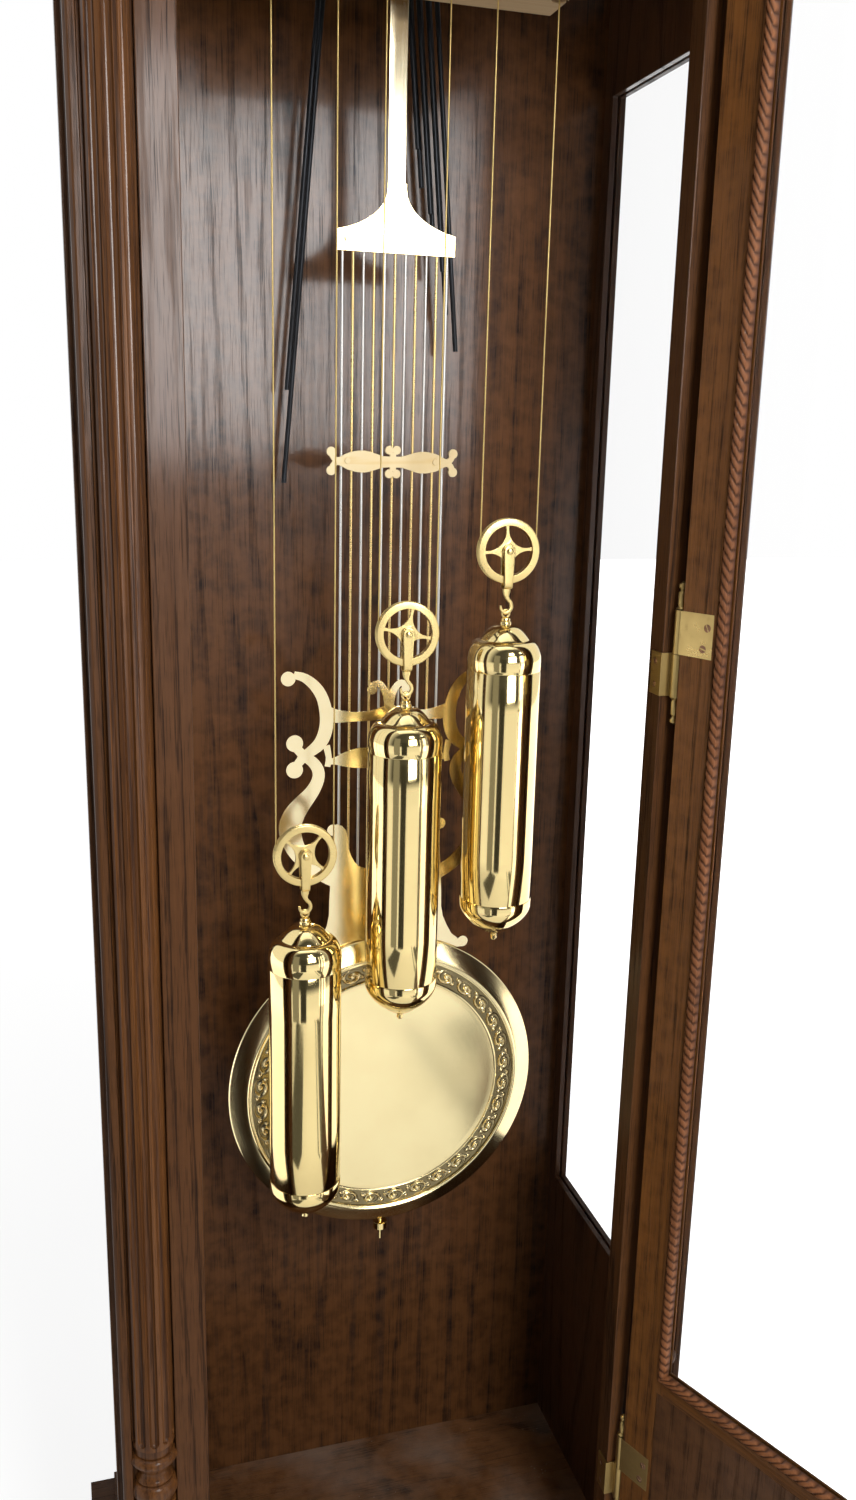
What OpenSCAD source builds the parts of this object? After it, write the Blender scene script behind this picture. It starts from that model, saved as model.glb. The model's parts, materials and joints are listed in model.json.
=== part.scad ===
// Longcase clock with one full-length glazed door, three cable-driven weights
// and a gridiron pendulum. Millimetres. X to the right, Y to the back, Z up.
// The origin is on the floor below the pendulum's line, between the two sides.

/* [Case] */
// Width across the front frame
case_w = 486; // [470:1:520]
// Distance from the origin plane to the face of the front frame
front_y = 128; // [124:1:150]
// Distance from the origin plane to the back of the case
back_y = 128; // [124:1:150]
// Height of the case under the crown
case_top = 2190; // [2150:5:2300]
// Thickness of the front frame boards
stile_t = 22; // [18:1:26]
// Width of a front stile
stile_w = 67; // [62:0.5:72]
// How far the corner posts stand out past the side panels
corner_w = 18; // [14:0.5:22]
// Thickness of the side panels
side_t = 14; // [12:1:16]
// Depth of the post behind each front stile
return_d = 22; // [12:1:23]
// How far the batten on each post stands out past the case
batten_out = 4; // [2:0.5:8]
// Bevel on the outer front arris of the stiles
stile_bevel = 2.5; // [1:0.5:4]
// Thickness of the back panel
back_t = 13; // [8:1:18]
// Height of the lower rail above the inside floor
sill_h = 23; // [12:1:30]
// Height of the upper rail
head_h = 49; // [40:1:60]

/* [Side windows] */
// Lower edge of the long side window
win_low = 692; // [660:1:740]
// Upper edge of the long side window
win_high = 1724; // [1600:1:1740]
// Front edge of the side windows, in front of the origin plane
win_front = 82; // [70:1:84]
// Rear edge of the side windows, behind the origin plane
win_back = 100; // [80:1:104]
// Lower edge of the movement window
sound_low = 1800; // [1780:1:1840]
// Upper edge of the movement window
sound_high = 2080; // [2000:1:2110]
// Thickness of every glass pane
glass_t = 3; // [2:0.5:4]
// Depth of the groove that holds a pane
groove_d = 5; // [3:0.5:6]
// Play of a pane in its groove
glass_play = 0.2; // [0.1:0.05:0.3]

/* [Base] */
// Height of the inside floor
floor_z = 400; // [395:1:405]
// Thickness of the inside floor
floor_t = 28; // [20:1:30]
// How far the base cabinet stands out past the case at the sides and the front
base_step = 23; // [18:1:30]
// Lip of the base cabinet's top under the waist moulding
base_lip = 6; // [4:1:8]
// Thickness of the base cabinet's top
base_top_t = 20; // [16:1:24]
// Width of the stiles beside the base panel
base_stile = 60; // [50:1:70]
// Height of the rail under the base panel, over the plinth
base_rail_low = 50; // [40:1:60]
// Height of the rail over the base panel, with the top
base_rail_high = 70; // [60:1:80]
// Width of the slope round the field of the base panel
base_field = 34; // [26:1:40]
// Board thickness of the base cabinet
base_t = 20; // [16:1:24]
// Height of the plinth
plinth_h = 84; // [70:1:100]
// How far the plinth stands proud of the cabinet
plinth_out = 12; // [8:1:16]
// Height of the cut-out between the bracket feet
foot_gap_h = 34; // [20:1:44]
// Length of a bracket foot along the floor
foot_w = 88; // [70:1:110]
// Height of the waist moulding above the base cabinet
waist_h = 37; // [30:1:44]
// Half length of the foot under the middle of the base
middle_foot = 60; // [50:1:80]

/* [Crown] */
// Height of the cornice
cornice_h = 58; // [50:1:58]
// Projection of the cornice
cornice_out = 48; // [36:1:56]
// Height of the arched pediment board
arch_rise = 74; // [60:1:90]
// Distance of the pediment's ends from the sides of the case
arch_inset = 7; // [4:1:16]
// Thickness of the pediment board
arch_t = 22; // [18:1:26]
// Height of the turned finial
finial_h = 79.5; // [60:0.5:90]
// Depth of the finial's seat in the pediment
finial_seat = 1.5; // [1:0.1:2]

/* [Columns] */
// Radius of the fluted shaft
column_r = 16.5; // [15:0.1:17]
// Number of flutes on the half shaft
flutes = 5; // [4:1:6]
// Radius of one flute
flute_r = 3.6; // [2.6:0.1:3.8]
// Depth of the recess behind a column
recess_d = 6; // [4:0.5:8]
// Foot of the turned column base
column_low = 600; // [590:1:610]
// Height of the turned base and of the turned cap
turning_h = 67; // [67:1:80]
// Top of the column cap
column_high = 2120; // [2100:1:2130]

/* [Door] */
// Distance of the hinge pin from the doorway's edge
pin_out = 9.5; // [9:0.1:11]
// Distance of the hinge pin in front of the front frame
pin_front = 7; // [6.5:0.1:8]
// How far the door stands open
door_open = 113.5; // [90:0.5:118]
// Gap between the door edge and the hinge pin's centre
door_edge = 5; // [5:0.1:6]
// Gap between the closed door and the stiles
door_gap = 3; // [2.5:0.1:3.4]
// Thickness of the door
door_t = 20; // [18:1:22]
// Lap of the door over the lower and upper rails
door_lap = 6; // [4:1:10]
// Width of the door stiles at the glass, seen from the front
door_stile = 38; // [37:0.5:42]
// Width of the flat of the door stiles on the inside
door_flat = 31.5; // [29.5:0.5:33]
// Lower edge of the glazed opening
door_glass_low = 675; // [650:1:700]
// Height of the flat rail below the bead
rail_flat = 12; // [10:1:24]
// Thickness of the door's lower panel
panel_t = 12; // [9:1:14]
// Height of the bottom rail of the door
door_bottom = 62; // [50:1:80]
// Diameter of the bead round the glass
bead_d = 6.5; // [5.5:0.5:7]
// Heights of the hinges above the floor
hinge_z = [552.5, 1285.5, 2018.5];
// Diameter of the hinge knuckles
knuckle_d = 9; // [8:0.5:9]
// Height of one hinge leaf
leaf_h = 33; // [28:1:40]
// Thickness of the hinge leaves
leaf_t = 1.5; // [1:0.1:1.8]
// Width of the door leaf
leaf_w = 28.5; // [24:0.5:29]
// Height of the door knob above the floor
knob_z = 1200; // [1100:10:1300]

/* [Weights] */
// Diameter of the weight shells
weight_d = 60; // [54:0.5:64]
// Length of the straight part of a shell
shell_l = 193; // [170:1:205]
// Distance between neighbouring weights
weight_pitch = 81; // [79:0.5:86]
// Plane of the weights in front of the origin plane
weight_y = 40; // [38:0.5:42]
// Height of the left pulley
pulley_left_z = 1114; // [1080:1:1140]
// Height of the middle pulley
pulley_middle_z = 1290; // [1270:1:1320]
// Height of the right pulley
pulley_right_z = 1354; // [1340:1:1390]
// Outside radius of a pulley wheel
pulley_r = 25.5; // [25:0.1:27]
// Radius from the pulley's centre to the centre of the cable
cable_run_r = 23.2; // [22.8:0.1:23.6]
// Diameter of the cable
cable_d = 1.2; // [1:0.1:1.4]
// Width of the pulley rim
rim_w = 6; // [5:0.5:7]
// Diameter of the pulley pin
pulley_pin_d = 4; // [3:0.1:5]
// Radial running clearance of pins, arbors and spindles
run_gap = 0.05; // [0.03:0.01:0.08]
// Distance from the pulley's centre to the top of the weight
hang_l = 58.2; // [57.8:0.1:59.8]

/* [Pendulum] */
// Height of the suspension
pivot_z = 1945; // [1940:1:1950]
// Plane of the pendulum rods behind the origin plane
rod_y = 15; // [14:0.5:16]
// Height of the middle of the bob
bob_z = 878; // [870:1:890]
// Radius of the bob
bob_r = 138.5; // [125:0.5:140]
// Width of the hanger strip
hanger_w = 14; // [12:0.5:16]
// Thickness of the hanger strip
hanger_t = 2; // [1.5:0.1:2.2]
// Lower edge of the gridiron's top bracket
bracket_z = 1575; // [1560:1:1590]
// Height of the top bracket
bracket_h = 50; // [44:1:56]
// Width of the top bracket
bracket_w = 94; // [92:1:100]
// Thickness of the pierced plates
plate_t = 2; // [1.5:0.1:2.2]
// Distance between neighbouring rods
rod_pitch = 8.3; // [7.8:0.1:8.5]
// Number of rods
rods = 11; // [9:2:11]
// Diameter of a rod
rod_d = 2.1; // [1.8:0.1:2.4]
// Lower end of the rods
rod_low = 1040; // [1035:1:1045]
// Width of the lyre plate over its sweeps
lyre_w = 186; // [176:1:190]
// Height of the middle of the cross clip
clip_z = 1419.5; // [1400:0.5:1440]
// Threaded tip below the bob
tip_l = 15; // [12:1:18]

/* [Movement] */
// Underside of the seatboard
seat_z = 1745; // [1742:1:1750]
// Thickness of the seatboard and of the bearers
seat_t = 22; // [18:1:24]
// Half width of the seatboard
seat_half = 110; // [108:1:120]
// Rear edge of the seatboard in front of the origin plane
seat_back = 7; // [6:0.5:9]
// Height of the winding arbors
drum_z = 1868; // [1864:1:1872]
// Height of the hands' arbor and of the dial's middle
dial_z = 1922; // [1920:1:1928]
// Half width of the dial plate
dial_half = 140; // [138:1:150]
// Thickness of the dial plate
dial_t = 2; // [1.5:0.1:2.5]
// Outer radius of the chapter ring
ring_out = 137; // [130:1:138]
// Inner radius of the chapter ring
ring_in = 104; // [103:1:110]
// Thickness of the chapter ring
ring_t = 1.6; // [1:0.1:2]
// Half width of the movement plates
works_half = 124; // [122:1:130]
// Height of the movement plates
works_h = 222; // [215:1:235]
// Thickness of the movement plates
works_t = 3; // [2.5:0.1:3.5]
// Diameter of the winding arbors
arbor_d = 6; // [5:0.5:7]
// Teeth of the great wheels
wheel_teeth = 48; // [40:2:60]
// Outside radius of the great wheels
wheel_r = 37; // [34:0.5:38]
// Length of the minute hand
minute_l = 122; // [110:1:128]
// Length of the hour hand
hour_l = 84; // [76:1:92]

/* [Chime] */
// Underside of the chime block
block_z = 1796; // [1790:1:1800]
// Diameter of a chime rod
chime_d = 4; // [3:0.2:4.4]
// Lean of the chime rods away from the middle
chime_lean = 5; // [3:0.5:6]
// Distance between neighbouring chime rods
chime_pitch = 3.8; // [3.6:0.1:4.2]
// Distance between neighbouring strike rods
strike_pitch = 5.2; // [4:0.1:6]
// Lengths of the strike rods on the left
strike_l = [398, 323];
// Lengths of the chime rods on the right
chime_l = [132, 159, 180, 200, 224, 257, 287];

/* [Hidden] */
$fn = 48;
TINY = 0.01;
half_w = case_w / 2;
door_half = half_w - stile_w;
side_out = half_w - corner_w;
in_half = side_out - side_t;
pin_x = door_half + pin_out;
pin_y = front_y + pin_front;
base_half = half_w + base_step;
base_front = front_y + base_step;
waist_out = base_step + base_lip;
arch_half = half_w - arch_inset;
frame_back = front_y - stile_t;
back_in = back_y - back_t;
base_top = floor_z - floor_t;
head_z = case_top - head_h;
shaft_low = base_top + waist_h;
shaft_high = case_top + 18 - cornice_h;
column_x = (door_half + half_w) / 2 + 9;
column_y = front_y - recess_d;
door_low = floor_z + sill_h - door_lap;
door_high = head_z + door_lap;
door_in = front_y + door_gap - pin_y;
door_right = pin_x - door_edge;
door_w = 2 * door_right;
glass_out = door_w - 2 * door_stile;
bead_out = door_w - 2 * door_flat;
glass_high = door_high - door_stile;
flat_diff = door_stile - door_flat;
bead_low = door_glass_low - flat_diff;
bead_high = glass_high + flat_diff;
panel_low = door_low + door_bottom;
panel_high = bead_low - rail_flat;
lip_t = 10.5;
lip_bevel = 9;
cam_y = frame_back - 3;
pulley_x = [-weight_pitch, 0, weight_pitch];
pulley_z = [pulley_left_z, pulley_middle_z, pulley_right_z];
groove_r = cable_run_r - cable_d / 2 - 0.3;
drum_r = cable_run_r - cable_d / 2 - 0.3;
seat_top = seat_z + seat_t;
works_z = seat_top + seat_t;
mask_t = 8;
works_front = frame_back - mask_t - 2;
works_back = seat_back + 12;
bearer_front = works_front + 1;
hammer_y = 34;
hammer_z = works_z + 14;
clear_fit = 0.3;
plate_y = rod_y - rod_d / 2 - 0.05;
bob_back = plate_y - plate_t - clear_fit;

// Box between two opposite corners
module block(low, high) {
    translate(low) cube(high - low);
}

// Plate drawn in X and Z, standing upright with its front face at y
module upright(y, t) {
    translate([0, y + t, 0]) rotate([90, 0, 0]) linear_extrude(t) children();
}

// Round bar along Y between two planes
module bar_y(x, z, y0, y1, d) {
    translate([x, y0, z]) rotate([-90, 0, 0]) cylinder(h = y1 - y0, d = d);
}

// Round bar along X between two planes
module bar_x(y, z, x0, x1, d) {
    translate([x0, y, z]) rotate([0, 90, 0]) cylinder(h = x1 - x0, d = d);
}

// Smooth curve through control points that carry a width as third value
function spline(a, b, c, d, t) =
    0.5 * (2 * b + (c - a) * t + (2 * a - 5 * b + 4 * c - d) * t * t
    + (3 * b - a - 3 * c + d) * t * t * t);
function smooth(p, n) = [
    for (i = [0 : len(p) - 2], j = [0 : n - 1])
        spline(p[max(i - 1, 0)], p[i], p[i + 1], p[min(i + 2, len(p) - 1)], j / n),
    p[len(p) - 1]
];
function heading(p, i) =
    let (a = p[max(i - 1, 0)], b = p[min(i + 1, len(p) - 1)], d = [b[0] - a[0], b[1] - a[1]])
    d / norm(d);
function edge(p, s) = [
    for (i = [0 : len(p) - 1])
        let (h = heading(p, i), w = s * p[i][2] / 2)
        [p[i][0] - h[1] * w, p[i][1] + h[0] * w]
];
function backwards(p) = [for (i = [len(p) - 1 : -1 : 0]) p[i]];

// Band of changing width along a smooth curve
module ribbon(p, n = 3) {
    q = smooth(p, n);
    polygon(concat(edge(q, 1), backwards(edge(q, -1))));
}

// One outline from shapes that lap over each other
module welded() {
    offset(delta = TINY) children();
}

module both_sides() {
    children();
    mirror([1, 0, 0]) children();
}

// Moulding that runs along both sides and the front with mitred corners.
// The profile gives distance from the face and height.
module wrap_moulding(profile, reach) {
    far = 400;
    intersection() {
        translate([-far, 0, 0]) rotate([90, 0, 90]) linear_extrude(2 * far)
            polygon([for (p = profile) [-front_y - p[0], p[1]]]);
        linear_extrude(2 * case_top) polygon([
            [-half_w, -front_y], [half_w, -front_y],
            [half_w + reach, -front_y - reach], [-half_w - reach, -front_y - reach]
        ]);
    }
    for (s = [0, 1]) mirror([s, 0, 0]) intersection() {
        translate([0, back_y, 0]) rotate([90, 0, 0]) linear_extrude(back_y + far)
            polygon([for (p = profile) [half_w + p[0], p[1]]]);
        linear_extrude(2 * case_top) polygon([
            [half_w, -front_y - TINY], [half_w + reach, -front_y - reach - TINY],
            [half_w + reach, back_y], [half_w, back_y]
        ]);
    }
}

// Filling between a side panel and the line of its post
module wrap_packing(low, high) {
    both_sides() block([side_out, -frame_back + return_d, low], [half_w, back_y, high]);
}

// Hollow of a cove from one point to another
function cove(x0, z0, x1, z1, n = 8) = [
    for (i = [0 : n]) let (a = 90 * i / n)
        [x1 + (x0 - x1) * sin(a), z0 + (z1 - z0) * (1 - cos(a))]
];
// Belly of a quarter round from one point to another
function ovolo(x0, z0, x1, z1, n = 8) = [
    for (i = [0 : n]) let (a = 90 * i / n)
        [x0 + (x1 - x0) * sin(a), z0 + (z1 - z0) * (1 - cos(a))]
];

module plinth() {
    out = base_half + plinth_out;
    face = base_front + plinth_out;
    wall = base_t + 2;
    side_gap = [-face + foot_w, back_y - foot_w];
    color([0.23, 0.13, 0.07]) difference() {
        union() {
            block([-out, -face, 0], [out, back_y, plinth_h - 12]);
            block([-out + 4, -face + 4, plinth_h - 12 - TINY], [out - 4, back_y, plinth_h]);
        }
        block([-out + wall, -face + wall, -1], [out - wall, back_y - wall, plinth_h + 1]);
        block([-out + foot_w, -face - 1, -1], [out - foot_w, -face + wall + 1, foot_gap_h]);
        for (s = [-1, 1]) translate([s * (out - foot_w), -face - 1, foot_gap_h])
            rotate([-90, 0, 0]) cylinder(h = wall + 2, r = 14);
        block([-out - 1, side_gap[0], -1], [out + 1, side_gap[1], foot_gap_h]);
    }
    // bearer under the middle of the base, with the foot that it stands on
    color([0.23, 0.13, 0.07]) {
        block([-out + wall - TINY, -foot_gap_h, foot_gap_h + 2], [out - wall + TINY, foot_gap_h, plinth_h]);
        block([-middle_foot, -foot_gap_h, 0], [middle_foot, foot_gap_h, foot_gap_h + 2 + TINY]);
    }
}

module base_carcase() {
    open_x = base_half - base_stile;
    lid = base_top - base_top_t;
    color([0.25, 0.14, 0.08]) difference() {
        union() {
            block([-base_half, -base_front, plinth_h], [base_half, back_y, lid]);
            block([-base_half - base_lip, -base_front - base_lip, lid - TINY],
                  [base_half + base_lip, back_y, base_top]);
        }
        block([-base_half + base_t, -base_front + base_t, plinth_h + base_t],
              [base_half - base_t, back_y - base_t / 2, lid]);
        block([-open_x, -base_front - 1, plinth_h + base_rail_low],
              [open_x, -base_front + base_t + 1, base_top - base_rail_high]);
    }
}

// Fielded panel: a plate whose margins slope down to a thin edge
module fielded_panel(half_x, z0, z1, back, t, thin, margin) {
    intersection() {
        block([-half_x, back - t, z0], [half_x, back, z1]);
        translate([0, 0, z0 - 1]) linear_extrude(z1 - z0 + 2) polygon([
            [-half_x, back], [-half_x, back - thin], [-half_x + margin, back - t],
            [half_x - margin, back - t], [half_x, back - thin], [half_x, back]
        ]);
        translate([-half_x - 1, 0, 0]) rotate([90, 0, 90]) linear_extrude(2 * half_x + 2) polygon([
            [back, z0], [back - thin, z0], [back - t, z0 + margin],
            [back - t, z1 - margin], [back - thin, z1], [back, z1]
        ]);
    }
}

module base_panel() {
    color([0.27, 0.15, 0.08])
        fielded_panel(base_half - base_stile - glass_play, plinth_h + base_rail_low + glass_play,
                      base_top - base_rail_high - glass_play, -base_front + base_t,
                      0.7 * base_t, base_t / 4, base_field);
}

module waist_moulding() {
    low = base_top;
    profile = concat(
        [[0, low], [waist_out, low], [waist_out, low + 6]],
        cove(waist_out - 3, low + 6, 6, low + waist_h - 7),
        [[3, low + waist_h - 7], [3, low + waist_h], [0, low + waist_h]]
    );
    color([0.26, 0.15, 0.08]) {
        wrap_moulding(profile, waist_out + 2);
        wrap_packing(low, low + waist_h);
    }
}

module trunk_floor() {
    color([0.3, 0.17, 0.09])
        block([-in_half, -frame_back, base_top], [in_half, back_in, floor_z]);
}

module back_panel() {
    color([0.2, 0.11, 0.06])
        block([-in_half, back_in, base_top], [in_half, back_y, case_top]);
}

// Window in a side panel, with the groove for its pane
module side_window_cut(low, high) {
    middle = in_half + side_t / 2;
    block([in_half - 1, -win_front, low], [side_out + 1, win_back, high]);
    block([middle - glass_t / 2 - glass_play, -win_front - groove_d, low - groove_d],
          [middle + glass_t / 2 + glass_play, win_back + groove_d, high + groove_d]);
}

module side_panel() {
    color([0.22, 0.12, 0.07]) {
        difference() {
            block([in_half, -frame_back, base_top], [side_out, back_y, case_top]);
            side_window_cut(win_low, win_high);
            side_window_cut(sound_low, sound_high);
        }
    }
}

module side_panel_right() {
    side_panel();
}

module side_panel_left() {
    mirror([1, 0, 0]) side_panel();
}

module side_pane(low, high) {
    middle = in_half + side_t / 2;
    edge_play = groove_d - glass_play;
    block([middle - glass_t / 2, -win_front - edge_play, low - edge_play],
          [middle + glass_t / 2, win_back + edge_play, high + edge_play]);
}

module side_windows() {
    color([0.85, 0.9, 0.92, 0.3]) both_sides() {
        side_pane(win_low, win_high);
        side_pane(sound_low, sound_high);
    }
}

module front_frame() {
    recess_half = column_r + 0.3;
    bevel_half = stile_bevel / sqrt(2);
    color([0.24, 0.13, 0.07]) difference() {
        union() {
            block([-half_w, -front_y, base_top], [half_w, -frame_back, case_top]);
            both_sides() {
                block([side_out, -frame_back - TINY, base_top], [half_w, -frame_back + return_d, case_top]);
                block([half_w - TINY, -frame_back, shaft_low], [half_w + batten_out, -frame_back + return_d, shaft_high]);
            }
        }
        both_sides() translate([half_w, -front_y, shaft_low]) rotate([0, 0, 45])
            block([-bevel_half, -bevel_half, 0], [bevel_half, bevel_half, shaft_high - shaft_low]);
        block([-door_half, -front_y - 1, floor_z + sill_h], [door_half, -frame_back + 1, head_z]);
        both_sides() block([column_x - recess_half, -front_y - 1, column_low],
                           [column_x + recess_half, -column_y, column_high]);
    }
}

// Half of a turning: outline of radius and height, seen from the front
module half_turning(outline) {
    rotate([0, 0, 180]) rotate_extrude(angle = 180) polygon(outline);
}

module fluted_column() {
    base_outline = concat(
        [[0, 0], [16.5, 0], [16.5, 12], [14.5, 13]],
        [for (i = [0 : 8]) let (a = -90 + 180 * i / 8) [14 + 4.5 * cos(a), 25 + 8 * sin(a)]],
        [for (i = [0 : 6]) let (a = 180 * i / 6) [14.5 - 2.5 * sin(a), 35 + 12 * i / 6]],
        [for (i = [0 : 8]) let (a = -90 + 180 * i / 8) [14 + 5 * cos(a), 54 + 5 * sin(a)]],
        [[15.5, 60], [15, 67], [0, 67]]
    );
    turning = [for (p = base_outline) [p[0] * column_r / 16.5, p[1] * turning_h / 67]];
    shaft_low = column_low + turning_h;
    shaft_high = column_high - turning_h;
    color([0.34, 0.2, 0.1]) translate([column_x, -column_y, 0]) {
        // the rings are cut off square where they lie on the face of the stile
        difference() {
            union() {
                translate([0, 0, column_low]) half_turning(turning);
                translate([0, 0, column_high]) mirror([0, 0, 1]) half_turning(turning);
            }
            for (s = [0, 1]) mirror([s, 0, 0])
                block([column_r, -recess_d, column_low - 1], [2 * column_r, 1, column_high + 1]);
        }
        difference() {
            translate([0, 0, shaft_low - 3]) linear_extrude(shaft_high - shaft_low + 6) intersection() {
                translate([-2 * column_r, -4 * column_r]) square(4 * column_r);
                circle(r = column_r);
            }
            for (i = [0 : flutes - 1]) rotate(-180 * (i + 0.5) / flutes) translate([column_r + 0.4, 0, 0]) {
                ends = [shaft_low + 2 * flute_r, shaft_high - 2 * flute_r];
                translate([0, 0, ends[0]]) cylinder(h = ends[1] - ends[0], r = flute_r, $fn = 24);
                for (z = ends) translate([0, 0, z]) sphere(r = flute_r, $fn = 24);
            }
        }
    }
}

module fluted_column_right() {
    fluted_column();
}

module fluted_column_left() {
    mirror([1, 0, 0]) fluted_column();
}

module top_board() {
    color([0.22, 0.12, 0.07])
        block([-half_w, -front_y, case_top], [half_w, back_y, case_top + 18]);
}

module cornice() {
    low = case_top + 18 - cornice_h;
    profile = concat(
        [[0, low], [4, low], [4, low + 7]],
        cove(cornice_out - 12, low + cornice_h - 18, 6, low + 9),
        [[cornice_out - 12, low + cornice_h - 18]],
        ovolo(cornice_out - 10, low + cornice_h - 15, cornice_out, low + cornice_h - 6),
        [[cornice_out, low + cornice_h], [0, low + cornice_h]]
    );
    color([0.26, 0.15, 0.08]) {
        wrap_moulding(profile, cornice_out + 2);
        wrap_packing(low, case_top);
    }
}

// Radius of the circle through the ends and the crown of the pediment
arch_r = (arch_half * arch_half + arch_rise * arch_rise) / (2 * arch_rise);

module pediment() {
    low = case_top + 18;
    y0 = -front_y;
    color([0.25, 0.14, 0.08]) difference() {
        union() {
            upright(y0, arch_t) intersection() {
                translate([0, low + arch_rise - arch_r]) circle(r = arch_r, $fn = 240);
                translate([-arch_half, low]) square([2 * arch_half, arch_rise + 1]);
            }
            upright(y0 - 16, arch_t + 16) intersection() {
                difference() {
                    translate([0, low + arch_rise - arch_r]) circle(r = arch_r, $fn = 240);
                    translate([0, low + arch_rise - arch_r]) circle(r = arch_r - 12, $fn = 240);
                }
                translate([-arch_half, low]) square([2 * arch_half, arch_rise + 1]);
            }
            upright(y0 - 8, arch_t) translate([0, low + arch_rise * 0.42]) circle(r = 19);
        }
        upright(y0 - 9, 4) translate([0, low + arch_rise * 0.42]) circle(r = 12);
        block([-14, y0 - 20, low + arch_rise - finial_seat], [14, y0 + arch_t + 1, low + arch_rise + 1]);
    }
}

module finial() {
    low = case_top + 18 + arch_rise - finial_seat;
    s = finial_h / 78;
    outline = [
        [0, 0], [13, 0], [13, 6], [8, 9], [6, 14], [7, 17], [14, 22], [18, 31], [17, 40],
        [11, 48], [6, 52], [5, 55], [8, 58], [8, 61], [5, 64], [3.5, 72], [0, 78]
    ];
    color([0.28, 0.16, 0.09]) translate([0, -front_y + arch_t / 2 - 4, low])
        rotate_extrude() polygon([for (p = outline) [p[0], p[1] * s]]);
}

// Door parts are drawn in the closed door and turned about the hinge pin
module in_door() {
    translate([pin_x, -pin_y, 0]) rotate([0, 0, door_open]) translate([-pin_x, pin_y, 0])
        children();
}

door_back = -front_y - door_gap;
door_face = door_back - door_t;
lip_back = door_face + lip_t;

// Widening of the glazed opening towards the room, bevelled on all four sides
module glass_bevel() {
    x = glass_out / 2;
    deep = door_face + lip_bevel;
    out = lip_bevel + 1;
    intersection() {
        translate([0, 0, door_glass_low - out]) linear_extrude(glass_high - door_glass_low + 2 * out)
            polygon([[-x, deep], [x, deep], [x + out, door_face - 1], [-x - out, door_face - 1]]);
        translate([-x - out, 0, 0]) rotate([90, 0, 90]) linear_extrude(2 * (x + out))
            polygon([[deep, door_glass_low], [deep, glass_high], [door_face - 1, glass_high + out],
                     [door_face - 1, door_glass_low - out]]);
    }
}

module door_frame() {
    color([0.26, 0.15, 0.08]) in_door() difference() {
        union() {
            block([-door_right, door_face + 3, door_low], [door_right, door_back, door_high]);
            block([-door_right + 3, door_face, door_low + 3], [door_right - 3, door_face + 3 + TINY, door_high - 3]);
        }
        // glazed opening through the front lip and its wider rebate behind
        block([-glass_out / 2, door_face - 1, door_glass_low], [glass_out / 2, door_back + 1, glass_high]);
        block([-bead_out / 2, lip_back, bead_low], [bead_out / 2, door_back + 1, bead_high]);
        glass_bevel();
        // opening for the lower panel with its rebate
        block([-glass_out / 2, door_face - 1, panel_low + flat_diff],
              [glass_out / 2, door_back + 1, panel_high - flat_diff]);
        block([-bead_out / 2, door_back - panel_t, panel_low], [bead_out / 2, door_back + 1, panel_high]);
        // seats of the hinge leaves and the bore of the knob's spindle
        for (z = hinge_z) block([door_right - leaf_w, door_back - leaf_t, z],
                                [door_right + 1, door_back + 1, z + leaf_h]);
        bar_y(-door_right + door_flat / 2, knob_z, door_face - 1, door_back + 1, 8 + 2 * run_gap);
    }
}

module door_panel() {
    color([0.28, 0.16, 0.09]) in_door() union() {
        block([-bead_out / 2 + glass_play, door_back - panel_t, panel_low + glass_play],
              [bead_out / 2 - glass_play, door_back, panel_high - glass_play]);
        fielded_panel(glass_out / 2 - 1, panel_low + flat_diff + 1, panel_high - flat_diff - 1,
                      door_back - panel_t + TINY, door_t - panel_t - 2, 1, 22);
    }
}

module door_glass() {
    color([0.85, 0.9, 0.92, 0.3]) in_door()
        block([-bead_out / 2 + glass_play, lip_back, bead_low + glass_play],
              [bead_out / 2 - glass_play, lip_back + glass_t, bead_high - glass_play]);
}

// One straight length of bead: flat against the glass, round towards the room
module bead_length(l) {
    depth = door_back - lip_back - glass_t - 1;
    linear_extrude(l) union() {
        translate([-bead_d / 2, 0]) square([bead_d, depth]);
        translate([0, depth]) circle(d = bead_d);
    }
}

module door_bead() {
    y = lip_back + glass_t;
    x = bead_out / 2 - bead_d / 2;
    long = bead_high - bead_low;
    color([0.42, 0.22, 0.12]) in_door() {
        for (s = [-1, 1]) translate([s * x, y, bead_low]) bead_length(long);
        for (z = [bead_low + bead_d / 2, bead_high - bead_d / 2])
            translate([-bead_out / 2 + bead_d, y, z]) rotate([0, 90, 0])
                bead_length(bead_out - 2 * bead_d);
    }
}

module knuckle(z0, z1) {
    translate([pin_x, -pin_y, z0]) difference() {
        cylinder(h = z1 - z0, d = knuckle_d);
        translate([0, 0, -1]) cylinder(h = z1 - z0 + 2, d = 5 + 2 * run_gap);
    }
}

module door_hinge_leaves() {
    color([0.72, 0.58, 0.26]) in_door() for (z = hinge_z) difference() {
        union() {
            knuckle(z, z + leaf_h);
            block([door_right - leaf_w, door_back - leaf_t, z], [pin_x - 2.6, door_back, z + leaf_h]);
        }
        translate([pin_x, -pin_y, z - 1]) cylinder(h = leaf_h + 2, d = 5 + 2 * run_gap);
    }
}

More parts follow.
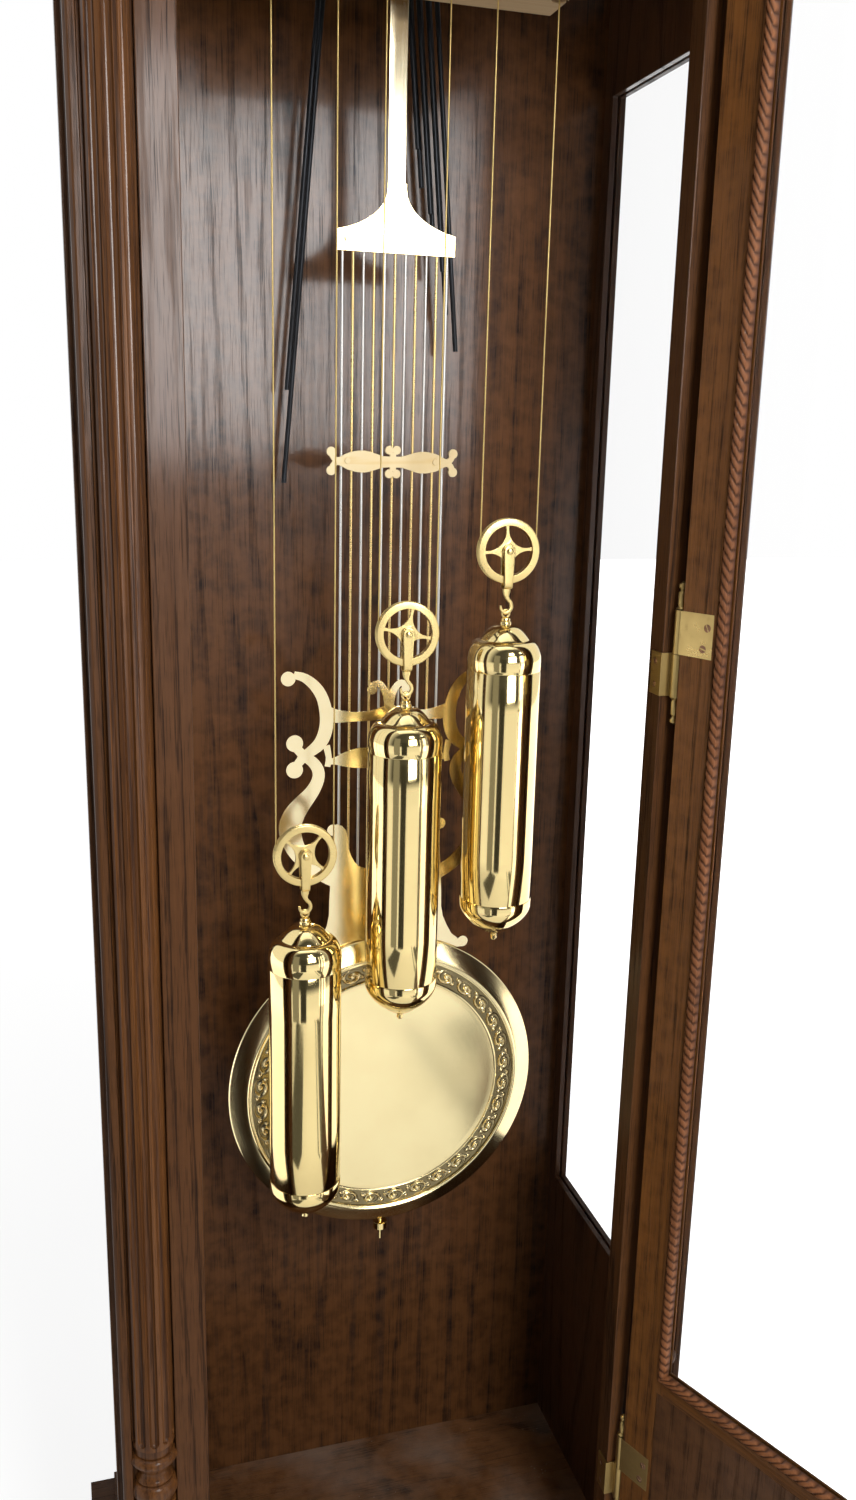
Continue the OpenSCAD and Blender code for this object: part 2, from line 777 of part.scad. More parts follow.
// Case leaf with the pin and its ball finials
module case_hinge_leaves() {
    color([0.72, 0.58, 0.26]) for (z = hinge_z) {
        low = z - leaf_h - clear_fit;
        high = z - clear_fit;
        translate([pin_x, -pin_y, low]) cylinder(h = leaf_h, d = knuckle_d);
        block([door_right + 1.5, -pin_y, low], [pin_x + 2, -front_y, high]);
        block([door_half - leaf_t, -front_y - leaf_t, low], [door_right + 2, -front_y, high]);
        block([door_half - leaf_t, -front_y - TINY, low], [door_half, -front_y + 15, high]);
        translate([pin_x, -pin_y, low]) rotate_extrude() polygon([
            [0, 1], [4.5, 1], [4.5, 0], [2.6, -2], [3, -4], [3, -13], [1.6, -15], [3, -17.5],
            [3, -19.5], [0, -22]
        ]);
        translate([pin_x, -pin_y, high - 1]) rotate_extrude() polygon([
            [0, 0], [2.5, 0], [2.5, leaf_h + 1 + 2 * clear_fit], [4.2, leaf_h + 1.6 + 2 * clear_fit],
            [2.6, leaf_h + 4], [3, leaf_h + 6], [3, leaf_h + 14], [1.6, leaf_h + 16],
            [3, leaf_h + 18.5], [3, leaf_h + 20.5], [0, leaf_h + 23]
        ]);
    }
}

module door_knob() {
    x = -door_right + door_flat / 2;
    color([0.75, 0.6, 0.25]) in_door() translate([x, 0, knob_z]) rotate([90, 0, 0]) {
        translate([0, 0, cam_y]) cylinder(h = -door_back - cam_y + door_t, d = 8);
        translate([0, 0, -door_face + clear_fit]) rotate_extrude() polygon([
            [0, -2], [4, -2], [4, 0], [9, 0], [9, 1.5], [5, 3], [4.5, 8], [8, 12], [10, 17],
            [8.5, 21.5], [4, 24], [0, 24.5]
        ]);
        translate([0, 0, cam_y]) linear_extrude(2) union() {
            circle(d = 13);
            translate([-4, 0]) square([8, 22]);
        }
        translate([0, 0, -door_back - 1.3]) cylinder(h = 1, d = 12);
    }
}

module seatboard() {
    slot_r = cable_run_r + 4;
    color([0.55, 0.45, 0.28]) difference() {
        block([-seat_half, -bearer_front, seat_z], [seat_half, -seat_back, seat_top]);
        for (x = pulley_x) translate([x, -weight_y, seat_z - 1]) {
            translate([cable_run_r, 0, 0]) cylinder(h = seat_t + 2, d = 12);
            translate([-cable_run_r, 0, 0]) cylinder(h = seat_t + 2, d = cable_d + 0.6);
        }
    }
}

module seat_bearers() {
    color([0.3, 0.18, 0.1]) {
        block([-in_half, -bearer_front, seat_top], [in_half, -bearer_front + seat_t, works_z]);
        block([-in_half, -seat_back - seat_t, seat_top], [in_half, -seat_back, works_z]);
    }
}

module movement_plates() {
    post = [works_half - 10, 14];
    color([0.8, 0.65, 0.3]) difference() {
        union() {
            block([-works_half, -works_front, works_z], [works_half, -works_front + works_t, works_z + works_h]);
            block([-works_half, -works_back - works_t, works_z], [works_half, -works_back, works_z + works_h]);
            for (s = [-1, 1], z = [works_z + post[1], works_z + works_h - post[1]])
                bar_y(s * post[0], z, -works_front + works_t / 2, -works_back - works_t / 2, 10);
        }
        for (x = pulley_x) bar_y(x, drum_z, -works_front - 1, -works_back + 1, arbor_d + 2 * run_gap);
        bar_y(0, dial_z, -works_front - 1, -works_back + 1, 4 + 2 * run_gap);
        bar_y(0, dial_z, -works_front - 1, -works_front + works_t + 1, 8.4);
        bar_y(0, pivot_z, -works_back - works_t - 1, -works_back + 1, 4 + 2 * run_gap);
        bar_y(0, pivot_z, -works_front - 1, -works_front + works_t + 1, 4 + 2 * run_gap);
    }
}

// Toothed wheel lying in X and Z
module great_wheel(r, teeth, depth) {
    step = 360 / teeth;
    polygon([
        for (i = [0 : teeth - 1], k = [0 : 3])
            let (a = step * (i + [0, 0.22, 0.5, 0.72][k]), q = (k == 1 || k == 2) ? r : r - depth)
            [q * cos(a), q * sin(a)]
    ]);
}

module drum(x) {
    y0 = -weight_y - 17;
    y1 = -weight_y + 14;
    color([0.78, 0.62, 0.28]) {
        translate([x, 0, drum_z]) {
            bar_y(0, 0, -frame_back + 1, -works_back + 2, arbor_d);
            bar_y(0, 0, y0, y1, 2 * drum_r);
            bar_y(0, 0, y0 - 2, y0 + TINY, 2 * drum_r + 6);
            bar_y(0, 0, y1 - TINY, y1 + 2, 2 * drum_r + 6);
            upright(-works_front + works_t + 4, 3) difference() {
                great_wheel(wheel_r, wheel_teeth, 3);
                for (a = [0 : 60 : 300]) rotate(a) translate([wheel_r * 0.6, 0]) circle(r = wheel_r * 0.2);
            }
        }
    }
}

module drum_left() {
    drum(pulley_x[0]);
}

module drum_middle() {
    drum(pulley_x[1]);
}

module drum_right() {
    drum(pulley_x[2]);
}

// Anchor on its arbor, and the crutch that leads the pendulum
module anchor() {
    fork_y = rod_y;
    crutch_y = -works_back + 3;
    reach = 90;
    color([0.6, 0.6, 0.62]) translate([0, 0, pivot_z]) {
        bar_y(0, 0, -works_front, crutch_y + 2, 4);
        upright(-works_front + 22, 4) union() {
            circle(r = 6);
            ribbon([[0, 2, 8], [-14, 0, 7], [-24, -8, 6], [-27, -17, 4]]);
            ribbon([[0, 2, 8], [14, 0, 7], [24, -8, 6], [27, -17, 4]]);
        }
        upright(crutch_y, 2) union() {
            circle(r = 5);
            translate([-2.5, -reach]) square([5, reach]);
            translate([-hanger_w / 2 - 3, -reach - 4]) square([hanger_w + 6, 6]);
        }
        for (s = [-1, 1]) translate([s * (hanger_w / 2 + 1.5 + clear_fit), 0, 0])
            bar_y(0, -reach - 1, crutch_y + 1, fork_y + 4, 3);
    }
}

module suspension_bracket() {
    y1 = rod_y + 6;
    color([0.75, 0.6, 0.28]) difference() {
        union() {
            block([-16, -works_back, pivot_z + 8], [16, y1, pivot_z + 18]);
            block([-16, -works_back, pivot_z + 8], [16, -works_back + 3, pivot_z + 30]);
        }
        block([-6, rod_y - 0.4, pivot_z + 7], [6, y1 + 1, pivot_z + 19]);
    }
}

// Thin blade with the brass head that rests across the bracket's slot
module suspension_spring() {
    color([0.7, 0.7, 0.72]) union() {
        block([-5, rod_y - 0.2, pivot_z - 17], [5, rod_y + 0.2, pivot_z + 19]);
        block([-9, rod_y - 3, pivot_z + 18 + clear_fit], [9, rod_y + 3, pivot_z + 24]);
    }
}

// Wooden surround that closes the doorway round the dial
module dial_surround() {
    low = seat_top + 14;
    hole = dial_half - 6;
    color([0.24, 0.13, 0.07]) difference() {
        block([-in_half, -frame_back, low], [in_half, -frame_back + mask_t, case_top - 8]);
        block([-hole, -frame_back - 1, dial_z - hole], [hole, -frame_back + mask_t + 1, dial_z + hole]);
    }
}

module dial_plate() {
    color([0.85, 0.7, 0.35]) upright(-frame_back - dial_t, dial_t) difference() {
        translate([-dial_half, dial_z - dial_half]) square(2 * dial_half);
        translate([0, dial_z]) circle(d = 10);
        for (x = pulley_x) translate([x, drum_z]) circle(d = 11);
    }
}

module chapter_ring() {
    color([0.82, 0.82, 0.8]) upright(-frame_back - dial_t - ring_t, ring_t) translate([0, dial_z])
        difference() {
            circle(r = ring_out, $fn = 96);
            circle(r = ring_in, $fn = 96);
        }
}

ring_face = -frame_back - dial_t - ring_t;

// Pierced hand pointing up from the arbor
module hand_shape(l, w) {
    ring = l * 0.52;
    small = ring + w * 1.5;
    difference() {
        union() {
            circle(r = w * 0.9);
            ribbon([[0, 0, w * 0.9], [0, l * 0.25, w * 0.5], [0, l * 0.4, w * 0.45], [0, ring, w * 0.5]]);
            translate([0, ring]) circle(r = w * 0.95);
            translate([0, small]) circle(r = w * 0.7);
            ribbon([[0, small + w * 0.3, w * 0.9], [0, l * 0.78, w * 0.5], [0, l * 0.9, w * 0.3], [0, l, 0.8]]);
        }
        translate([0, ring]) circle(r = w * 0.55);
        translate([0, small]) circle(r = w * 0.32);
    }
}

module minute_hand() {
    y = ring_face - 9;
    color([0.12, 0.12, 0.14]) translate([0, 0, dial_z]) {
        upright(y, 1.2) hand_shape(minute_l, 8);
        bar_y(0, 0, y - 3, -works_back - 1, 4);
        bar_y(0, 0, y - 3, y + TINY, 8);
    }
}

module hour_hand() {
    y = ring_face - 5;
    color([0.12, 0.12, 0.14]) translate([0, 0, dial_z]) difference() {
        union() {
            upright(y, 1.2) rotate(50) hand_shape(hour_l, 10);
            bar_y(0, 0, y - 1.5, -works_front + works_t + 3, 8);
        }
        bar_y(0, 0, y - 3, -works_front + works_t + 5, 4 + 2 * run_gap);
    }
}

module pendulum_hanger() {
    top = pivot_z - 18;
    low = bracket_z + bracket_h - 22;
    color([0.85, 0.72, 0.38]) difference() {
        union() {
            block([-hanger_w / 2, rod_y - hanger_t / 2, low], [hanger_w / 2, rod_y + hanger_t / 2, top]);
            block([-hanger_w / 2, rod_y - 2.2, top - 8], [hanger_w / 2, rod_y + 2.2, top + 8]);
        }
        block([-5.4, rod_y - 0.4, top], [5.4, rod_y + 0.4, top + 9]);
    }
}

// Cast cap that holds the upper ends of the rods
module gridiron_bracket() {
    w = bracket_w / 2;
    h = bracket_h;
    neck = hanger_w / 2 + 0.5;
    flank = [for (i = [0 : 8]) let (a = 9 * i) [
        neck + (w - neck) * (1 - cos(a)) / (1 - cos(72)),
        h - 4 - (h - 19) * sin(a) / sin(72)]];
    half = concat([[0, 0], [w, 0]], backwards(flank), [[neck, h], [0, h]]);
    color([0.9, 0.76, 0.42]) translate([0, 0, bracket_z]) {
        upright(plate_y - plate_t, plate_t) union() {
            polygon(half);
            mirror([1, 0]) polygon(half);
        }
        for (x = [-w + 9, w - 9]) bar_y(x, 4, plate_y - plate_t - 1.2, plate_y - plate_t + TINY, 5);
        for (z = [h - 6, h - 16]) bar_y(0, z, plate_y - plate_t - 0.8, plate_y - plate_t + TINY, 2.4);
    }
}

module rod(i) {
    x = (i - (rods - 1) / 2) * rod_pitch;
    hang = abs(x) < hanger_w / 2 + rod_d ? bracket_z + bracket_h - 22 : bracket_z + 9;
    translate([x, rod_y, rod_low]) cylinder(h = hang - rod_low, d = rod_d, $fn = 24);
}

module steel_rods() {
    color([0.75, 0.75, 0.76]) for (i = [0 : 2 : rods - 1]) rod(i);
}

module brass_rods() {
    color([0.8, 0.64, 0.3]) for (i = [1 : 2 : rods - 2]) rod(i);
}

module gridiron_clip() {
    color([0.9, 0.76, 0.42]) translate([0, 0, clip_z]) {
        upright(plate_y - plate_t, plate_t) {
            for (s = [0, 1]) mirror([s, 0]) {
                ribbon([[0, 0, 8.6], [6, 0, 8.6], [11, 0, 10.5], [23, 0, 17], [35, 0, 14], [43, 0, 6.6], [48, 0, 5]]);
                for (z = [-1, 1]) {
                    ribbon([[45, 0, 5], [48, z * 2.5, 4.6], [49.5, z * 6, 5]]);
                    translate([50, z * 7.2]) circle(r = 3.7);
                    translate([3, z * 9.2]) circle(r = 3.4);
                    translate([0, z * 3]) square([5, 8], center = true);
                }
            }
        }
        for (x = [-37, 35]) bar_y(x, 0.5, plate_y - plate_t - 1, plate_y - plate_t + TINY, 4.4);
    }
}

// Pierced plate of scrolls in front of the rods
module lyre_half($fn = 24) {
    // upper scroll, its ball and the two balls at the waist
    ribbon([[-80, 1250, 6], [-71, 1247.3, 7.4], [-62, 1239.5, 9], [-56, 1229, 9.8], [-53, 1214, 11],
            [-54, 1202, 11.5], [-58.5, 1192, 11], [-67, 1185, 9], [-72, 1181.7, 8]]);
    translate([-84.7, 1246.9]) circle(r = 6);
    translate([-79.5, 1192.9]) circle(r = 7);
    translate([-79.6, 1170.4]) circle(r = 7);
    ribbon([[-79, 1190, 7], [-73, 1181.7, 8], [-79, 1173, 7]]);
    // lower sweep that ends in the side of the vase
    ribbon([[-72, 1181.7, 8], [-65, 1177, 9], [-60, 1169.5, 10], [-60, 1161, 10.5], [-65, 1151, 12],
            [-73, 1141.5, 15], [-80, 1132, 18], [-83.5, 1121, 19], [-81, 1107, 17], [-73, 1093, 14],
            [-62, 1082, 12], [-50, 1074, 12], [-40, 1070, 14]]);
    // arms across the rods
    ribbon([[-52, 1217, 12], [-44, 1214.4, 11], [-31, 1213.5, 8], [-16, 1213.8, 8.6], [-6, 1216, 9.5], [1, 1220, 9]]);
    ribbon([[-53, 1190, 6], [-51, 1180, 5], [-52, 1172, 5]]);
    ribbon([[-52, 1176, 5], [-46, 1176.5, 6], [-38, 1177.2, 12], [-28, 1178, 16.5], [-18, 1178, 17.5],
            [-8, 1178, 12], [1, 1178, 9]]);
    // centre scroll
    ribbon([[0, 1214, 9], [-0.5, 1224, 7.5], [-3.5, 1234, 6], [-8.5, 1240.5, 5.5], [-13.5, 1240, 5], [-16, 1237, 5]]);
    translate([-14.6, 1236]) circle(r = 4.2);
    // vase with its scrolled lip and foot
    translate([-47, 1116.5]) circle(r = 5);
    polygon(concat(
        [[0, 1079], [-12, 1079.2], [-19.2, 1080.5], [-24.5, 1083], [-28, 1086.5], [-31, 1092], [-33.6, 1099.5],
         [-34.2, 1108], [-35.6, 1115], [-39, 1119.6], [-44, 1121.4], [-48, 1119], [-47, 1108], [-47.5, 1090],
         [-49, 1072], [-49.9, 1054], [-50.2, 1040.3], [-52, 1031], [-55.8, 1022], [-60.5, 1013.5], [-66, 1009],
         [-70, 1000.6], [-60, 1000], [0, 1000]]
    ));
    translate([-70.9, 1005.3]) circle(r = 5);
}

module lyre_plate() {
    size = lyre_w / 186;
    color([0.9, 0.76, 0.42]) upright(plate_y - plate_t, plate_t)
        translate([0, rod_low]) scale([size, size]) translate([0, -1040]) welded() {
            lyre_half();
            mirror([1, 0]) lyre_half();
        }
}

// Clamp under the rods, with the stem and its threaded end behind the bob
module pendulum_stem() {
    half = (rods - 1) / 2 * rod_pitch + 4;
    nut_z = bob_z - bob_r - 9;
    color([0.8, 0.66, 0.34]) {
        block([-half, plate_y, rod_low - 14], [half, rod_y + 2, rod_low]);
        block([-hanger_w / 2, plate_y, nut_z + 6], [hanger_w / 2, rod_y + 1, rod_low - 14 + TINY]);
        translate([0, plate_y + 1, nut_z - tip_l]) cylinder(h = tip_l + 7, d = 3);
        translate([0, plate_y + 1, nut_z]) rotate_extrude() polygon([
            [1.5, -5], [3, -5], [5, -3], [6.5, -3], [6.5, 3], [1.5, 3]
        ]);
    }
}

// Pressed bob: dished rim, raised band and slightly domed middle
module bob() {
    r = bob_r;
    outline = concat(
        [[0, 0], [r - 4, 0], [r, 1.2], [r, 2.4]],
        [for (i = [1 : 6]) let (a = 90 * i / 6) [r - 0.135 * r * sin(a), 2.4 + 6.6 * (1 - cos(a))]],
        [[r * 0.86, 10.4], [r * 0.84, 10.4], [r * 0.83, 9.6], [r * 0.765, 9.6], [r * 0.755, 10.4], [r * 0.74, 10.4],
         [r * 0.73, 9.4]],
        [for (i = [0 : 5]) let (a = i / 5) [r * 0.72 * (1 - a), 9.4 + 3.4 * a * (2 - a)]]
    );
    color([0.9, 0.76, 0.4]) translate([0, bob_back, bob_z]) rotate([90, 0, 0]) rotate_extrude($fn = 96)
        polygon(outline);
}

chime_y = back_in - 34;
function chime_x(i) = 23.4 + chime_pitch * i;
function strike_x(i) = -39.2 - strike_pitch * i;

module chime_block() {
    far = 60;
    color([0.15, 0.15, 0.16]) {
        block([-far, chime_y - 9, block_z], [far, chime_y + 18, block_z + 24]);
        block([-far * 0.6, chime_y + 18 - TINY, block_z - 6], [far * 0.6, back_in, block_z + 40]);
    }
}

module leaning_rod(x, y, lean, l) {
    translate([x, y, block_z]) rotate([0, 180 + lean, 0]) {
        cylinder(h = l, d = chime_d, $fn = 24);
    }
}

module chime_rods() {
    n = len(chime_l);
    color([0.1, 0.11, 0.14]) {
        intersection() {
            union() {
                for (i = [0 : n - 1])
                    leaning_rod(chime_x(i), chime_y + (i % 2) * 9, -chime_lean, chime_l[i]);
                for (i = [0 : len(strike_l) - 1])
                    leaning_rod(strike_x(i), chime_y + ((i + 1) % 2) * 9, chime_lean, strike_l[i]);
            }
            block([-in_half, 0, floor_z], [in_half, back_in, block_z]);
        }
    }
}

module hammer_bracket() {
    x = works_half - 14;
    color([0.75, 0.6, 0.28]) difference() {
        union() {
            both_sides() block([x, -works_back, hammer_z - 9], [x + 3, hammer_y + 8, hammer_z + 9]);
            bar_x(hammer_y, hammer_z, -x - 1, x + 1, 4);
        }
    }
}

// Hammer with its hub on the arbor and its head in front of the rods
module hammer(x) {
    head_z = block_z - 16;
    head_y = chime_y - chime_d / 2 - 4;
    drop = head_z - hammer_z;
    translate([x, 0, 0]) difference() {
        union() {
            bar_x(hammer_y, hammer_z, -1.5, 1.5, 9);
            rotate([90, 0, 90]) translate([0, 0, -1]) linear_extrude(2) ribbon([
                [hammer_y, hammer_z, 6], [hammer_y + 12, hammer_z + drop * 0.4, 4], [head_y - 6, head_z, 4]]);
            bar_y(0, head_z, head_y - 10, head_y, 3.2);
        }
        bar_x(hammer_y, hammer_z, -3, 3, 4 + 2 * run_gap);
    }
}

module strike_hammers() {
    color([0.7, 0.6, 0.35]) for (i = [0 : len(strike_l) - 1]) hammer(strike_x(i) - 1.4);
}

module chime_hammers() {
    color([0.7, 0.6, 0.35]) for (i = [0 : len(chime_l) - 1]) hammer(chime_x(i) + 1.4);
}

// Weight with its caps, nuts and eye, below the stirrup that carries the pulley pin
module weight(x, z) {
    r = weight_d / 2;
    cap_h = 36;
    foot_h = 33;
    eye_h = 8.8;
    top_cap = concat(
        [[0, -cap_h], [r, -cap_h], [r, -cap_h + 8]],
        [for (i = [1 : 8]) let (a = 90 * i / 8) [r - 0.5 - 8.5 * (1 - cos(a)), -cap_h + 8 + 16 * sin(a)]],
        [[20, -12], [19.6, -11.4]],
        [for (i = [1 : 6]) let (a = 90 * i / 6) [19.6 - 14.4 * (1 - cos(a)), -11.4 + 11.2 * sin(a)]],
        [[5.2, 0], [0, 0]]
    );
    low = -cap_h - shell_l;
    bottom_cap = concat(
        [[0, low], [r, low], [r, low - 7]],
        [for (i = [1 : 8]) let (a = 90 * i / 8) [r - 9 * (1 - cos(a)), low - 7 - 15 * sin(a)]],
        [[19.6, low - 22.6], [13, low - 28.4], [6, low - foot_h], [0, low - foot_h]]
    );
    nut = [[0, 0], [4.6, 0], [4.6, 2.4], [3.6, 3], [4.2, 3.8], [3.6, 5.2], [1.6, 6.2], [0.9, 6.6], [0, 6.6]];
    tip = [[0, 0], [3.4, 0], [3.4, -1.6], [2.4, -2.4], [2.9, -4.6], [1.8, -6.6], [0, -7]];
    color([0.88, 0.72, 0.32]) translate([x, -weight_y, z - hang_l]) {
        rotate_extrude() polygon(top_cap);
        rotate_extrude() polygon(bottom_cap);
        translate([0, 0, low]) difference() {
            cylinder(h = shell_l, r = r - 0.4);
            translate([0, 0, 2]) cylinder(h = shell_l - 4, r = r - 8);
        }
        rotate_extrude() polygon(nut);
        translate([0, 0, low - foot_h]) rotate_extrude() polygon(tip);
        translate([0, 0, eye_h]) rotate([0, 90, 0]) rotate_extrude() translate([3, 0]) circle(r = 0.9, $fn = 16);
    }
    color([0.85, 0.68, 0.3]) translate([x, -weight_y, z]) stirrup();
}

module stirrup() {
    cheek = rim_w / 2 + 0.7;
    low = pulley_r + 3;
    for (s = [0, 1]) mirror([0, s, 0]) {
        upright(cheek, 1.2) union() {
            circle(r = 4.6);
            polygon([[-4.6, 0], [4.6, 0], [3.4, -low], [-3.4, -low]]);
        }
        bar_y(0, 0, cheek + 1.2 - TINY, cheek + 2.4, 5.4);
        bar_y(0, 0, 0, cheek + TINY, pulley_pin_d);
    }
    block([-3.4, -cheek - 1.2, -low - 1.2], [3.4, cheek + 1.2, -low + TINY]);
    upright(-1, 2) union() {
        ribbon([[0, -low - 0.6, 6.4], [0, -low - 5, 6], [0.6, -low - 8, 3.4], [3.6, -low - 12, 3],
                [4.4, -low - 16, 3], [2.4, -low - 19.6, 3], [-1.2, -low - 20, 2.8], [-4, -low - 17.4, 2.2],
                [-4.6, -low - 14.6, 1.4]]);
    }
}

module weight_left() {
    weight(pulley_x[0], pulley_z[0]);
}

module weight_middle() {
    weight(pulley_x[1], pulley_z[1]);
}

module weight_right() {
    weight(pulley_x[2], pulley_z[2]);
}

// Four-window wheel with a groove for the cable
module pulley(x, z, turn) {
    rim_in = pulley_r - 5.8;
    hub_r = 5.2;
    reach = 21.6 / 18.7 * rim_in;
    color([0.82, 0.68, 0.34]) translate([x, -weight_y, z]) rotate([0, turn, 0]) difference() {
        union() {
            rotate([90, 0, 0]) rotate_extrude() polygon([
                [rim_in, -rim_w / 2], [pulley_r - 0.6, -rim_w / 2], [pulley_r, -rim_w / 2 + 0.6],
                [pulley_r, -rim_w / 2 + 1.2], [groove_r, -0.5], [groove_r, 0.5],
                [pulley_r, rim_w / 2 - 1.2], [pulley_r, rim_w / 2 - 0.6], [pulley_r - 0.6, rim_w / 2],
                [rim_in, rim_w / 2]
            ]);
            upright(-1.1, 2.2) difference() {
                circle(r = rim_in + 1);
                for (a = [45 : 90 : 315]) rotate(a) intersection() {
                    rotate(-a) circle(r = rim_in);
                    translate([reach, 0]) circle(r = reach - 7.8);
                }
            }
            bar_y(0, 0, -rim_w / 2, rim_w / 2, 2 * hub_r);
        }
        bar_y(0, 0, -rim_w, rim_w, pulley_pin_d + 2 * run_gap);
    }
}

module pulley_left() {
    pulley(pulley_x[0], pulley_z[0], 40);
}

module pulley_middle() {
    pulley(pulley_x[1], pulley_z[1], 12);
}

module pulley_right() {
    pulley(pulley_x[2], pulley_z[2], -4);
}

// Cable from its anchorage in the seatboard, under the pulley and up to the drum
module cable(x, z) {
    color([0.7, 0.58, 0.3]) translate([x, -weight_y, 0]) {
        translate([-cable_run_r, 0, z]) cylinder(h = seat_z + 10 - z, d = cable_d, $fn = 16);
        translate([-cable_run_r, 0, seat_top]) cylinder(h = 4, d = 4);
        translate([-cable_run_r, 0, seat_z + 9]) cylinder(h = seat_t - 8, d = cable_d, $fn = 16);
        translate([cable_run_r, 0, z]) cylinder(h = drum_z - z, d = cable_d, $fn = 16);
        translate([0, 0, z]) rotate([90, 180, 0]) rotate_extrude(angle = 180)
            translate([cable_run_r, 0]) circle(d = cable_d, $fn = 16);
    }
}

module cable_left() {
    cable(pulley_x[0], pulley_z[0]);
}

module cable_middle() {
    cable(pulley_x[1], pulley_z[1]);
}

module cable_right() {
    cable(pulley_x[2], pulley_z[2]);
}

plinth();
base_carcase();
base_panel();
waist_moulding();
trunk_floor();
back_panel();
side_panel_left();
side_panel_right();
side_windows();
front_frame();
fluted_column_left();
fluted_column_right();
top_board();
cornice();
pediment();
finial();
door_frame();
door_panel();
door_glass();
door_bead();
door_hinge_leaves();
case_hinge_leaves();
door_knob();
seatboard();
seat_bearers();
movement_plates();
drum_left();
drum_middle();
drum_right();
anchor();
suspension_bracket();
suspension_spring();
dial_surround();
dial_plate();
chapter_ring();
minute_hand();
hour_hand();
pendulum_hanger();
gridiron_bracket();
steel_rods();
brass_rods();
gridiron_clip();
lyre_plate();
pendulum_stem();
bob();
chime_block();
chime_rods();
hammer_bracket();
strike_hammers();
chime_hammers();
weight_left();
weight_middle();
weight_right();
pulley_left();
pulley_middle();
pulley_right();
cable_left();
cable_middle();
cable_right();
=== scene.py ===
import json
import math
from functools import partial

import bmesh
import bpy
import numpy as np
from mathutils import Matrix, Vector


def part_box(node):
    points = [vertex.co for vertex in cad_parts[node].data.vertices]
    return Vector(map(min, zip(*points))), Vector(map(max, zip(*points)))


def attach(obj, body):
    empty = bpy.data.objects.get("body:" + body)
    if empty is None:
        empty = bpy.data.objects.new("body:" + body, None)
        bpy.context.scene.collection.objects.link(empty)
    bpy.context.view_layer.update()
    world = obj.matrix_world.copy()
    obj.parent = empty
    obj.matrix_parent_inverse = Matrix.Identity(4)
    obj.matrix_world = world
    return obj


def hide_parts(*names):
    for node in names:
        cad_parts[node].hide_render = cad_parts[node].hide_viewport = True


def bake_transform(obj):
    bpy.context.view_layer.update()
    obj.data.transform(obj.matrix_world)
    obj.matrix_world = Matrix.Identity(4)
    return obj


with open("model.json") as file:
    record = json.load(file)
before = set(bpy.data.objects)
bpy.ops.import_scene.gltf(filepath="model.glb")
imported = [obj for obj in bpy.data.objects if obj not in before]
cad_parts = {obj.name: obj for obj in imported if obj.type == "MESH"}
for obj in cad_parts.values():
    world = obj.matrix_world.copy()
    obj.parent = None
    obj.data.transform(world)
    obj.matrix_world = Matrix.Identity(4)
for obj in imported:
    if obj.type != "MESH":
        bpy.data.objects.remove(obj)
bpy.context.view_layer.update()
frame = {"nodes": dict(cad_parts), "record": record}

scene = bpy.context.scene


# -------- studio
# The camera stands in front of the open clock, a little left of its middle, and looks down into the trunk.
# A pale floor, a white surround, four soft lamps and seven dark cards are the photographer's studio.

CAMERA_AT = (-0.262, -0.9754, 1.4366)
YAW, PITCH, ROLL = 0.292, 0.242, 0.024
LENS, SENSOR, NEAREST = 30.06, 36, 0.02
WHITE = (1, 1, 1, 1)
FLOOR_HALF, FLOOR_GREY = 14, (0.78, 0.78, 0.77, 1)


def aimed_matrix(at, yaw, pitch, roll):
    """Camera at a place: looks along (sin yaw cos pitch, cos yaw cos pitch, -sin pitch), rolled about that line."""
    turns = ((-yaw, "Z"), (math.pi / 2 - pitch, "X"), (roll, "Z"))
    about_z, about_x, rolled = (Matrix.Rotation(angle, 4, axis) for angle, axis in turns)
    return Matrix.Translation(at) @ about_z @ about_x @ rolled


def linked(name, data):
    """New object of the scene."""
    obj = bpy.data.objects.new(name, data)
    scene.collection.objects.link(obj)
    return obj


lens_data = bpy.data.cameras.new("photo_camera")
lens_data.lens, lens_data.sensor_width, lens_data.clip_start = LENS, SENSOR, NEAREST
lens_data.sensor_fit = "AUTO"
scene.camera = linked("photo_camera", lens_data)
scene.camera.matrix_world = aimed_matrix(CAMERA_AT, YAW, PITCH, ROLL)
scene.view_settings.view_transform = "Standard"


def feed(node, inputs):
    """Sets a node's inputs to values, or links them to the sockets that feed them."""
    for key, value in inputs.items():
        if isinstance(value, bpy.types.NodeSocket):
            node.id_data.links.new(value, node.inputs[key])
        else:
            node.inputs[key].default_value = value


def put(kind, inputs, tree=None, **settings):
    """Adds a node to a tree, or beside the first socket that feeds it, and returns its outputs.

    Settings are its properties."""
    if tree is None:
        tree = next(v.node.id_data for v in inputs.values() if isinstance(v, bpy.types.NodeSocket))
    node = tree.nodes.new("ShaderNode" + kind)
    for key, value in settings.items():
        setattr(node, key, value)
    feed(node, inputs)
    return node.outputs


def source(tree, kind, output, **settings):
    """One output of a node that nothing feeds."""
    return put(kind, {}, tree, **settings)[output]


def calc(operation, *values, clamp=False):
    """Output of a Math node on up to three values or sockets, one of them a socket."""
    return put("Math", dict(enumerate(values)), operation=operation, use_clamp=clamp)[0]


mul, add, most, mul_add = (partial(calc, operation) for operation in ("MULTIPLY", "ADD", "MAXIMUM", "MULTIPLY_ADD"))


def between(value, low, high, a=0, b=1):
    """The value carried from low..high to a..b and held at the ends."""
    return put("MapRange", {"Value": value, "From Min": low, "From Max": high, "To Min": a, "To Max": b})[0]


def xyz(vector):
    """The three parts of a vector, by name."""
    return put("SeparateXYZ", {0: vector})


